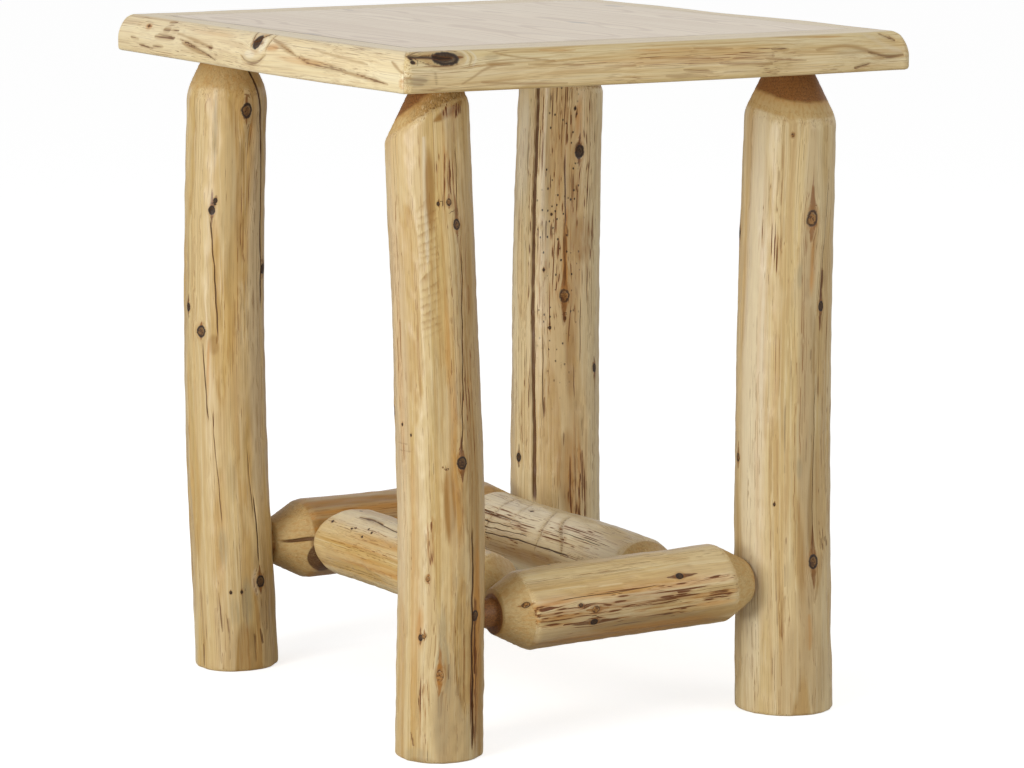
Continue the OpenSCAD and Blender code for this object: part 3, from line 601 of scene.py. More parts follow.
# %% Columns round a log
def log_columns(log, along, mean_r):
    """Angles of the columns: even ones and six close ones for each crack. Near a crack all columns
    lean over with it, by the crack's own wander times a weight that fades over 25 degrees."""
    cracks = [(width, depth, darkness, sorted(pairs(way), key=lambda p: p[1]))
              for width, depth, darkness, *way in log["cracks"]]
    homes = [math.radians(np.mean([a for a, _ in places])) for *_, places in cracks]
    close = [home + np.array(CRACK_COLUMNS) * crack[0] / mean_r
             for home, crack in zip(homes, cracks)]
    even = np.arange(COLUMNS) * TAU / COLUMNS
    base = np.unique(np.mod(np.concatenate([even, *close]), TAU))[None, :]
    angle = base + 0 * along
    groove, split = np.zeros(angle.shape), np.zeros(angle.shape)
    for k, (width, depth, darkness, places) in enumerate(cracks):
        heights = [height for _, height in places]
        wander = np.radians(np.interp(along, heights, [a for a, _ in places])) - homes[k]
        wander = wander + 0.2 / mean_r * ripple(log["seed"] * 7 + k, 0, along, 0, (20, 110))
        away = apart(base, homes[k])
        angle = angle + wander * (1 - step(0.02, LEAN, abs(away)))
        fade = step(heights[0] - 6, heights[0] + 16, along)
        fade = fade * (1 - step(heights[-1] - 16, heights[-1] + 6, along))
        fade = fade * (0.95 + 0.12 * ripple(log["seed"] * 9 + k, 0, along, 0, (18, 90)))
        line = (1 - step(0.45 * width, width, abs(away) * mean_r)) * np.clip(fade, 0, 1)
        groove = np.maximum(groove, depth * line)
        split = np.maximum(split, line * darkness)
    return angle, groove, split


print("columns for the cracks of each log:",
      {name: len(CRACK_COLUMNS) * len(log["cracks"]) for name, log in LOGS.items()})


# %% Flats and chops
def flats(log, angle, along, radius):
    """What a drawknife leaves: each stroke is a plane that stands the radius less its bite from the
    pith, so its reach in a direction is that distance over the cosine of the turn away from it."""
    draw = np.random.default_rng(log["seed"])
    left = radius

    def shaved(heading, bite):
        plane = (radius - bite) / np.cos(np.clip(apart(angle, heading), -1.0, 1.0))
        return lesser(left, plane, FLAT_EASE)

    for k in range(log["flats"]):
        heading = TAU * (k + draw.uniform(-0.3, 0.3)) / log["flats"]
        heading = heading + 0.10 * ripple(log["seed"] * 31 + k, 0, along, 0, (300, 900), 5)
        bite = 0.45 + 0.55 * ripple(log["seed"] * 37 + k, 0, along, 0, (140, 520), 6)
        left = shaved(heading, FLAT_DEPTH * bite)
    for degrees, bite, low, high in log.get("broad_flats", []):
        fade = step(low - 60, low + 30, along) * (1 - step(high - 30, high + 60, along))
        left = shaved(math.radians(degrees), bite * fade - 2.0 * (1 - fade))
    return left


def hewing(marks, around, along, girth, mean_r):
    """Depth, from 0 to 1, of a row of slanting chops: each falls off behind its edge."""
    degrees, height, half_around, half_along = marks
    across = (around - math.radians(degrees) * mean_r + girth / 2) % girth - girth / 2
    edge = along - NOTCH_SLANT * across + 2.5 * ripple(78, 0, along, 0, (20, 60))
    beat = edge / NOTCH_PITCH
    window = 1 - step(0.7, 1.1, abs(across) / half_around)
    window = window * (1 - step(0.8, 1.1, abs(along - height) / half_along))
    rest = 0.7 + 0.3 * ripple(77, 0, along + across, 0, (7, 40))
    return window * (beat - np.floor(beat)) ** 2 * rest


print("logs with chops:", [name for name, log in LOGS.items() if "hewn" in log])


# %% The logs
def log_piece(name):
    """One log: places round its bent pith at the least of its flats and the cutter's reach, which
    from a pith at c in direction e is the root of |c + reach * e| = cutter radius."""
    log = LOGS[name]
    seed = log["seed"]
    along, inset, limit = log_rows(log)
    mean_r = sum(log["d"]) / 4
    girth = TAU * mean_r
    angle, groove, split = log_columns(log, along, mean_r)
    x, y, radius = body(log, angle, along)
    around = angle * mean_r
    lift, push, notes = grown(
        around, along + 0 * around, girth, log, lambda degrees: math.radians(degrees) * mean_r)
    round_log = flats(log, angle, along, radius + PROUD)
    ridge = 1 - step(0.0, RIDGE_W, radius + PROUD - round_log)
    tool = np.zeros(angle.shape)
    if "hewn" in log:
        tool = hewing(log["hewn"], around, along, girth, mean_r)
    skin = round_log + FINE_WAVES * ripple(seed + 3, angle, along, 24, (14, 90), 20)
    skin = skin + lift - NOTCH_DEPTH * tool
    spread = x * np.cos(angle) + y * np.sin(angle)
    reach = -spread + np.sqrt(spread**2 - x**2 - y**2 + limit**2)
    on_cone = step(0.2, 1.5, skin - reach) * (limit > SHOULDER_R + 0.2)
    patchy = step(-0.4, 0.6, ripple(seed + 6, angle, along, 3, (60, 200), 8))
    rough = np.clip(log["torn"] * (0.6 + patchy * 0.8), 0, 1)
    if "torn_at" in log:
        side = np.cos(angle - math.radians(log["torn_at"]))
        rough = rough * (0.2 + 0.8 * step(0.0, 0.7, side))
    torn = ripple(seed + 5, angle, along, 40, (3, 9), 26)
    reach = reach + (CLEAN_CUT + TORN_CUT * rough) * torn * on_cone
    distance = lesser(skin - inset, reach, log.get("ease", CONE_EASE))
    distance = distance - groove * (limit > SHOULDER_R)
    depth = np.maximum(radius - distance - groove - SKIN, 0)
    depth = depth * step(0.0, 0.8, skin - distance - groove)
    side_x, side_y = distance * np.cos(angle), distance * np.sin(angle)
    local = np.stack([x + side_x, y + side_y, along + 0 * angle], -1)
    points = local @ np.array(log["way"], float) + np.array(log["place"], float)
    turned = angle - push / mean_r
    offset = GRAIN_APART * seed
    grain = [distance * np.cos(turned), distance * np.sin(turned), local[..., 2] + offset]
    sap = np.full(angle.shape, log.get("sap", SAP))
    notes = {"grain": np.stack(grain, -1), **notes,
             "cut": np.stack([depth, tool, rough + 0 * angle], -1),
             "make": np.stack([ridge, sap, split], -1)}
    ends = {note: [(0, 0, 0)] * 2 for note in notes}
    ends.update(grain=[(0, 0, float(along[end, 0]) + offset) for end in (0, -1)],
                knot=[(FAR, FAR, 0)] * 2, cut=[(mean_r, 0, 0)] * 2, make=[(0, SAP, 0)] * 2)
    return grid_piece(name.replace("_", "-"), points, notes, ends)


log_pieces = {name: log_piece(name) for name in LOGS}

# %% [markdown]
# ## The edging
#
# Each edging rail is a split log: flat against the boards, on top and below, with the wavy outside
# of the log as its edge. Its section is carried along the wave of the edge. Each level of the
# section follows the outline of the top at that level, cut off at the two mitre planes, so that
# the four rails meet at the corners as sawn mitres do. A mark's height is its place on the outside,
# and a height above the top means a place on the flat.

# %% Measures of the edging
FRONT, RIGHT, BACK, LEFT = range(4)
SIDE_NAMES = ("front", "right", "back", "left")
TOP_W, TOP_D, END_RAIL, SIDE_RAIL = 505.0, 565.0, 53.0, 34.0
ROUND_W, ROUND_H, ROUND_POWER, LOWER_ROUND = 13.5, 21.0, 1.6, 3.0
CORNER_R, LEAST_CORNER = 10.0, 2.0
WAVES = ([0, 5, 6, 0], [0, 7, 1, 5, 0], [0, 6, 4, 0], [0, 3, 7, 0])
HALF_SIDE = (TOP_W / 2, TOP_D / 2, TOP_W / 2, TOP_D / 2)
SIDE_OUT = (TOP_D / 2, TOP_W / 2, TOP_D / 2, TOP_W / 2)
FIELD = (TOP_D / 2 - END_RAIL, TOP_W / 2 - SIDE_RAIL) * 2
SEAM_SHARE = 0.03
RAIL_ROWS = 600
CORNER_POINTS, BIT_POINTS, SIDE_POINTS = 200, 300, 1500
RAIL_WAVES, RAIL_SINK = 0.5, 0.55
SEAM_W, SEAM_DARK = 0.8, 0.8
ROUND_ROWS, FACE_ROWS = 27, 14
print("width of the flat field of boards:", TOP_W - 2 * SIDE_RAIL, "mm")

# %% Marks of the edging
RAILS = {
    "front": dict(
        seed=21, pith=(-52, -22), all_over=dict(shade=0.2, flecks=0.08),
        knots=[(604.5, -211, 6.6, 0.9, 0.4, 7, 1.7), (602, -241.5, 1.6, 1, 0, 3),
            (605.5, -242.5, 1.2, 1, 0, 3)],
        strokes=[(2.4, 0.2, 0.35, 594, -223, 583, -222),
            (1.4, 0.3, 0.8, 607.5, -243, 611, -226, 612, -212, 609, -197),
            (3.8, 0.6, 0.9, 606.5, -244, 605, -204),
            (1.2, 0.3, 0.7, 607, -243, 600, -228, 598, -211, 600, -199),
            (2.6, 0.9, 0.6, 594, 205, 589, 226, 590, 243), (2.4, 0.7, 0.7, 609, 222, 603, 236),
            (1.5, 0.3, 0.65, 580.5, 189, 582, 198, 584, 207), (1, 0.2, 0.8, 600.5, 103, 600, 122),
            (0.9, 0.2, 0.6, 586, 16, 585, 38)],
        grey=[(606, -198, 5, 6, 1.3), (587, -240, 5, 13, 1.1), (604, -168, 4, 8, 0.8),
            (594, 186, 4, 20, 0.6)],
        orange=[(598, 0, 12, 120, 0.3)],
        flecks=[(600, 40, 6, 100, 0.5)],
        brushed_shade=[(3, 1, 590, -251, 587, -231), (2.2, 0.9, 586, -251, 584, -234),
            (1.8, 0.9, 609, -172, 604, -150, 599, -110), (2, 0.9, 599, -176, 597.5, -156),
            (2.2, 0.9, 583, -199, 588, -189, 594, -178, 597.5, -165, 597.5, -148),
            (2.4, 0.9, 584, -181, 581, -140, 580, -100), (1, 1, 610, -191, 604.5, -187, 598, -191),
            (1.6, 1, 593, -66, 592, -34), (2, 0.8, 597, -136, 594.5, -84),
            (1.8, 0.9, 586.5, 12, 584.5, 38), (3, 0.8, 582, -6, 580, 36),
            (2.6, 1.1, 590.5, 48, 588, 102), (2.2, 1, 592.5, 95, 589.5, 138),
            (2, 1, 604, 25, 602.5, 64), (1.8, 1, 597, -20, 596, 40),
            (4.2, 0.9, 598, 150, 600, 182, 594, 207, 589, 226, 590, 242)],
        brushed_orange=[(2.2, 0.8, 608, -122, 607, -88), (2.6, 0.9, 606, -72, 603.5, -8),
            (1.8, 0.7, 609, 146, 608, 182)],
        brushed_pale=[(1.3, 1.4, 610, -194, 604.5, -190, 599, -194),
            (1.3, 1.4, 610, -187, 604, -183, 597, -188), (4.6, 0.5, 609, 206, 600, 222, 593, 240)]),
    "right": dict(
        seed=22, pith=(-46, -24),
        knots=[(597, 60, 5, 0.8, 0.7, 22), (588, -150, 4, 0.6, 0.5, 20),
            (603, 200, 3.2, 0.9, 0.5, 14)],
        strokes=[(1.4, 0.5, 0.7, 606, -20, 598, 10, 592, 40)],
        orange=[(596, 0, 10, 180, 0.5)],
        flecks=[(598, -60, 10, 120, 0.8)],
        grey=[(597, 76, 7, 12, 0.8)]),
    "back": dict(
        seed=23, pith=(-50, -20),
        knots=[(600, 90, 6, 0.9, 0.7, 26), (590, -120, 4, 0.6, 0.5, 20),
            (602, -30, 2.6, 0.9, 0.3, 12)],
        strokes=[(1.4, 0.5, 0.7, 604, 150, 596, 190, 590, 215)],
        orange=[(597, -60, 10, 150, 0.55)],
        flecks=[(598, 60, 10, 130, 0.8)],
        grey=[(600, 108, 7, 13, 0.8)]),
    "left": dict(
        seed=24, pith=(-48, -26), all_over=dict(flecks=0.05, pale=0.55),
        knots=[(603, 20, 6.6, 0.9, 1.2, 8, 1.05), (603, -217, 1.6, 0.5, 0.3, 8)],
        strokes=[(1, 0.3, 0.55, 603, 66, 597.5, 95, 595, 106, 593, 150, 589.5, 189),
            (1.3, 0.3, 0.65, 597, 100, 592, 122, 590.5, 152, 588.5, 186),
            (1.2, 0.3, 0.7, 588, 206, 586, 224, 583, 252), (0.9, 0.2, 0.6, 586, 214, 584, 236),
            (1.5, 0.9, 0.95, 613, 36, 608, 26, 602, 13, 598, 11),
            (1.6, 0.6, 0.75, 611, 5, 607, 8, 603, 11),
            (2.2, 0.9, 0.55, 590, -6, 586.5, 1, 584.5, 10, 584.5, 20, 587, 31, 594, 44),
            (1.4, 0.6, 0.6, 610, 43, 602, 41, 596, 41),
            (1.1, 0.3, 0.8, 595.5, -140, 592, -112, 586, -83, 581.4, -61),
            (0.9, 0.3, 0.7, 593, -128, 588, -98, 583, -71), (0.8, 0.2, 0.6, 595.5, -112, 592, -71),
            (1.6, 0.3, 0.7, 608.4, -181, 609, -164), (2, 0.4, 0.85, 602, -183, 602, -168),
            (1, 0.3, 0.7, 602, -172, 602.4, -150), (1.7, 0.3, 0.75, 594.5, -196, 595.5, -152),
            (1.1, 0.2, 0.6, 597, -190, 597, -160), (1, 0.2, 0.6, 591, -247, 589.5, -230),
            (1, 0.2, 0.7, 584.6, -230, 582.8, -196), (1.3, 0.2, 0.6, 585.3, -198, 586, -174),
            (1.6, 0.3, 0.8, 592.2, -77, 592.2, -68), (1.2, 0.2, 0.6, 604, -222, 602.5, -214),
            (1, 0.2, 0.6, 611.8, -68, 610.3, -58)],
        grey=[(602, 18, 6, 8, 1.3), (589, 170, 3, 40, 0.5)],
        pale=[(601, 32, 10, 7, 1.4), (592, 12, 5, 14, 1.4)],
        orange=[(605, -80, 5, 60, 0.3), (600, 52, 5, 14, 0.9), (593, 110, 4, 50, 0.5),
            (603, -217, 6, 8, 0.9), (585, 278, 5, 5, 0.6)],
        brushed_shade=[(4, 1, 607, 44, 603, 68, 597, 96), (2.2, 1, 602, 254, 593, 280),
            (3.4, 0.9, 593, -134, 588, -104, 584, -76), (2.4, 0.8, 600, -150, 597, -112, 592, -66),
            (2, 1, 612, -70, 610, -56), (3, 0.8, 589, 180, 583, 256), (2, 0.7, 590, 130, 598, 104),
            (2, 0.7, 604, 120, 600, 170, 597, 220)]),
}
print("strokes on each rail:", {side: len(rail["strokes"]) for side, rail in RAILS.items()})


# %% The edge of the top
def outline(side, inset, share):
    """The edge of the top at an inset, spaced evenly by share from -1 to 1 between the two mitre
    planes: a wavy side, a quarter circle at each end and the first bit of both neighbours."""
    r = max(CORNER_R - inset, LEAST_CORNER)

    def wavy(which, t):
        run = HALF_SIDE[which] - inset - r
        return run * (2 * t - 1), SIDE_OUT[which] - inset + curve(WAVES[which], t)

    turn = np.linspace(0, math.pi / 2, CORNER_POINTS)
    corner_u = HALF_SIDE[side] - inset - r + r * np.sin(turn)
    corner_o = SIDE_OUT[side] - inset - r + r * np.cos(turn)
    before_u, before_o = wavy((side - 1) % 4, np.linspace(0.9, 1, BIT_POINTS))
    after_u, after_o = wavy((side + 1) % 4, np.linspace(0, 0.1, BIT_POINTS))
    side_u, side_o = wavy(side, np.linspace(0, 1, SIDE_POINTS))
    u = np.concatenate([-before_o, -corner_u[::-1], side_u, corner_u, after_o])
    o = np.concatenate([before_u, corner_o[::-1], side_o, corner_o, -after_u])
    field, along = FIELD[side], FIELD[(side + 1) % 4]
    over = abs(u) - along - (o - field) * (HALF_SIDE[side] - along) / (SIDE_OUT[side] - field)
    length = np.concatenate([[0], np.cumsum(np.hypot(np.diff(u), np.diff(o)))])
    first = int(np.argmax(over <= 0))
    last = len(over) - int(np.argmax(over[::-1] <= 0))
    start = np.interp(0, -over[first - 1:first + 1], length[first - 1:first + 1])
    stop = np.interp(0, over[last - 1:last + 1], length[last - 1:last + 1])
    at = start + (share + 1) / 2 * (stop - start)
    return np.interp(at, length, u), np.interp(at, length, o)


print("places of the front edge:", outline(FRONT, 0, np.linspace(-1, 1, 5))[1].round(1), "mm out")


# %% The section of a rail
def rail_section(side):
    """The section of a rail as rows of (weight from the boards to the edge, inset, height): up the
    inner face, over the flat top, round the upper edge, down the outside and back underneath."""
    power = 2 / ROUND_POWER
    widest = TABLE_TOP - ROUND_H
    flat_rows = 22 if side in (FRONT, BACK) else 14
    rows = [(0, ROUND_W, z) for z in np.linspace(UNDER_TOP, TABLE_TOP, 3)]
    rows += [(SEAM_SHARE, ROUND_W, TABLE_TOP)]
    rows += [(w, ROUND_W, TABLE_TOP) for w in np.linspace(0, 1, flat_rows)[1:-1]]
    rows += [(1, ROUND_W * (1 - math.cos(a) ** power), widest + ROUND_H * math.sin(a) ** power)
             for a in np.linspace(math.pi / 2, 0, ROUND_ROWS)]
    rows += [(1, 0, z) for z in np.linspace(widest, UNDER_TOP + LOWER_ROUND, FACE_ROWS)[1:]]
    rows += [(1, LOWER_ROUND * inset, UNDER_TOP + LOWER_ROUND * rise)
             for inset, rise in ((0.12, 0.6), (0.3, 0.3))]
    rows += [(w, LOWER_ROUND, UNDER_TOP) for w in np.linspace(1, 0, flat_rows)[:-1]]
    return np.array(rows, float)


print("points of the front rail's section:", len(rail_section(FRONT)))


# %% The four rails
def rail_piece(side):
    """One rail: its section at each share of the side, with knots and waves pressed into it along
    the normal of the section. Its grain is measured from the pith of the log it was split from."""
    rail = RAILS[SIDE_NAMES[side]]
    weight, inset, height = rail_section(side).T
    share = np.linspace(-1, 1, RAIL_ROWS)[:, None]
    inner, field, out = share * FIELD[(side + 1) % 4], FIELD[side], SIDE_OUT[side]
    edges = [outline(side, level, share[:, 0]) for level in inset]
    edge_u, edge_o = (np.stack(part, -1) for part in zip(*edges))
    u = inner + weight * (edge_u - inner)
    o = field + weight * (edge_o - field)
    plain_o = field + weight * (out - inset - field)
    lengths = np.hypot(np.diff(plain_o), np.diff(height))
    around = np.concatenate([[0], np.cumsum(lengths)]) - (TABLE_TOP - UNDER_TOP)
    flat = out - ROUND_W - field
    outer = np.flatnonzero(weight == 1)
    heights = np.append(TABLE_TOP + flat, height[outer])
    arounds = np.append(0, around[outer])

    def down(z):
        return float(np.interp(-z, -heights, arounds))

    def slope(values):
        return np.gradient(np.concatenate([values[-2:], values, values[:2]]))[2:-2]

    size = np.maximum(np.hypot(slope(plain_o), slope(height)), 1e-6)
    tangent_o, tangent_z = slope(plain_o) / size, slope(height) / size
    lift, push, notes = grown(around + 0 * u, u, None, rail, down)
    waney = step(flat - 4, flat + 8, around) * (1 - step(flat + 36, flat + 42, around))
    wave = RAIL_WAVES * ripple(rail["seed"], around / 18, u, 2, (60, 260), 9) - RAIL_SINK
    lift = np.minimum((lift + wave) * waney, -0.1) * step(0, 0.05, 1 - abs(share))
    o = o - tangent_z * lift
    z = np.minimum(height + tangent_o * lift + 0 * u, TABLE_TOP)
    x, y = ((u, -o), (o, u), (-u, o), (-o, -u))[side]
    pith_o, pith_z = rail["pith"]
    grain = np.stack([o - out - pith_o - tangent_o * push,
                      z - TABLE_TOP - pith_z - tangent_z * push,
                      u + GRAIN_APART * rail["seed"]], -1)
    zero = np.zeros(u.shape)
    on_top = (1 - step(flat - 2.5, flat + 1.5, around)) * (around >= 0) + zero
    seam = SEAM_DARK * (abs(around) < SEAM_W) + zero
    notes["wear"][..., 0] = np.maximum(notes["wear"][..., 0], seam)
    notes = {"grain": grain, **notes, "cut": np.stack([zero, zero, zero], -1),
             "make": np.stack([on_top, zero + FAR, zero], -1)}
    ends = {note: [values[0].mean(0), values[-1].mean(0)] for note, values in notes.items()}
    return grid_piece("edging-" + SIDE_NAMES[side], np.stack([x, y, z], -1), notes, ends)


rail_pieces = {SIDE_NAMES[side]: rail_piece(side) for side in (FRONT, RIGHT, BACK, LEFT)}

# %% [markdown]
# ## Shader sums as plain Python
#
# A finish is mostly arithmetic on noise. Writing it as a chain of boxes is slow to read, so a wire
# between boxes gets the signs + - * / and **, each of which adds one Math node. Every other node
# comes from one method, which takes its kind, its settings and the values of its sockets.

# %% Colours by name
TONES = {
    "ring": "#BC9457", "dark strand": "#BD9555", "light strand": "#EBDBAF", "fibre": "#A57D42",
    "pale wood and painted light": "#EBE0C4", "dark wood and painted shade": "#9A7136", "bark patch and painted shade": "#502E10", "resin": "#C0822F",
    "hair line": "#845010", "fleck edge": "#A4681E", "fleck": "#622E02", "grey fleck": "#2E2014",
    "weathered": "#9E8F6E", "pin hole": "#1F140B", "cut wood": "#CEB27B", "torn wood": "#B18D52",
    "torn speck": "#9E7436", "torn strand": "#BE9150", "dark tuft": "#6C4A26",
    "light tuft": "#EFE0BC", "scallop": "#A67B42", "heart edge": "#B98642", "heart": "#8E5826",
    "dark heart": "#5C3410", "heart tuft": "#B88850", "lathe line": "#BC8C54",
    "flame": "#A0640C", "dark flame": "#633506", "collar": "#A26A24", "plug": "#A9793F",
    "dark plug": "#603B18", "black plug": "#211206", "plug ring": "#C4A678", "rim": "#2C1A0B",
    "stroke": "#643A10", "crack": "#603C16", "deep crack": "#281606", "hewn": "#94692F",
    "board": "#FBE6C2", "board band": "#F2DAB4", "brown board": "#D2B08A", "board ring": "#AF8657",
    "board fibre": "#A98359", "board knot": "#8F7C6E", "board seam": "#7E5C38",
    "dowel": "#E2D0A8", "dowel fibre": "#C5A873", "dowel band": "#D7BE8C", "pale floor": "#D2D2D2",
}


def tone(colour):
    """A colour by its name in TONES or by red, green and blue in hexadecimal, made linear as
    Blender's sockets want it. A wire stays as it is."""
    if isinstance(colour, Wire):
        return colour
    code = TONES.get(colour, colour)
    parts = [int(code[i:i + 2], 16) / 255 for i in (1, 3, 5)]
    return (*(c / 12.92 if c <= 0.04045 else ((c + 0.055) / 1.055) ** 2.4 for c in parts), 1.0)


print("named colours:", len(TONES))


# %% Wires
class Wire:
    """The output of a shader node. Arithmetic on it adds Math nodes."""

    def __init__(self, finish, socket):
        self.finish, self.socket = finish, socket

    def also(self, output):
        """Another output of the same node."""
        return Wire(self.finish, self.socket.node.outputs[output])

    def maths(self, operation, *others, first=None):
        values = (self, *others) if first is None else (first, self)
        settings = {"operation": operation}
        return self.finish.node("ShaderNodeMath", settings, dict(enumerate(values)))

    def __add__(self, other):
        return self.maths("ADD", other)

    def __sub__(self, other):
        return self.maths("SUBTRACT", other)

    def __rsub__(self, other):
        return self.maths("SUBTRACT", first=other)

    def __mul__(self, other):
        return self.maths("MULTIPLY", other)

    def __truediv__(self, other):
        return self.maths("DIVIDE", other)

    def __pow__(self, other):
        return self.maths("POWER", other)

    __radd__, __rmul__ = __add__, __mul__

    def over(self, low, high):
        """0 below low, 1 above high and smooth between; high may be the smaller one."""
        settings = {"interpolation_type": "SMOOTHSTEP"}
        low_high = {"Value": self, "From Min": low, "From Max": high, "To Min": 0.0, "To Max": 1.0}
        return self.finish.node("ShaderNodeMapRange", settings, low_high)


# %% Finishes
OFF_LATTICE = (7.31, 3.77, 1.93)


class Finish:
    """A material, or the world, under construction."""

    def __init__(self, name, store=bpy.data.materials):
        self.owner = store.new(name)
        self.owner.use_nodes = True
        self.tree = self.owner.node_tree
        self.tree.nodes.clear()

    def node(self, kind, settings=None, sockets=None, out=0):
        """Adds a node: its settings first, then its sockets by name, identifier or number."""
        made = self.tree.nodes.new(kind)
        for key, value in (settings or {}).items():
            setattr(made, key, value)
        for key, value in (sockets or {}).items():
            socket = made.inputs[key] if isinstance(key, int) else next(
                s for s in made.inputs if s.enabled and key in (s.name, s.identifier))
            if isinstance(value, Wire):
                self.tree.links.new(value.socket, socket)
            else:
                socket.default_value = value
        return Wire(self, made.outputs[out]) if made.outputs else None

    def note(self, name):
        """One of the piece's own vectors, and its three parts."""
        whole = self.node("ShaderNodeAttribute", {"attribute_name": name}, out=1)
        return whole, *self.split(whole)

    def split(self, vector):
        return [self.node("ShaderNodeSeparateXYZ", None, {0: vector}, out=k) for k in range(3)]

    def scaled(self, vector, factors, shift=OFF_LATTICE):
        return self.node("ShaderNodeVectorMath", {"operation": "MULTIPLY_ADD"}, {
            0: vector, 1: factors, 2: shift})

    def noise(self, vector, factors, detail=2.0, roughness=0.5):
        """Soft noise whose lumps are about 1 / factor long in each direction."""
        return self.node("ShaderNodeTexNoise", None, {
            "Vector": self.scaled(vector, factors), "Scale": 1.0, "Detail": detail,
            "Roughness": roughness})

    def cells(self, vector, factors):
        """Distance to the nearest of many scattered points, about 1 / factor from each other."""
        return self.node("ShaderNodeTexVoronoi", {"feature": "F1"}, {
            "Vector": self.scaled(vector, factors), "Scale": 1.0})

    def spindles(self, vector, factors, size):
        """Distance from marks pointed at both ends, over their size: below 1 is inside a mark. Each
        cell of the texture holds one, with its own share of the size."""
        away = self.cells(vector, factors)
        pick = self.split(away.also("Color"))[0]
        return away / (pick * pick * size)

    def mix(self, mask, under, upper):
        """One colour over another, as thick as the mask says."""
        return self.node("ShaderNodeMix", {"data_type": "RGBA", "clamp_factor": True}, {
            "Factor_Float": mask, "A_Color": tone(under), "B_Color": tone(upper)}, out=2)

    def paint(self, mask, upper):
        """Lays a colour over all that has been painted so far."""
        self.colour = self.mix(mask, self.colour, upper)

    def close(self, roughness, height, depth, coat, coat_roughness):
        """Ends the finish in one shader under a clear lacquer, with fine relief of a depth in m."""
        normal = self.node("ShaderNodeBump", None, {
            "Height": height, "Distance": depth, "Strength": 1.0})
        shader = self.node("ShaderNodeBsdfPrincipled", None, {
            "Base Color": self.colour, "Roughness": roughness, "Normal": normal,
            "Coat Weight": coat, "Coat Roughness": coat_roughness, "Coat IOR": 1.5,
            "Specular IOR Level": 0.3})
        self.node("ShaderNodeOutputMaterial", None, {"Surface": shader})
        print(f"{self.owner.name}: {len(self.tree.nodes)} nodes")
        return self.owner


# %% [markdown]
# ## Peeled log wood
#
# The young wood under the bark is cream, with soft bands and hair-fine fibres along the log. Thin
# remains of inner bark leave orange streaks, and short dark flecks follow the grain. The distance
# from the pith gives the year rings, which show as long lines where a flat cuts them and as circles
# on the cones. Deeper than a finger's width lies the brown heartwood, which the cutter laid bare.

# %% Peeled log wood
RING_GAP, CONE_RING_GAP, LATHE_PITCH = 1.7, 1.9, 1.15


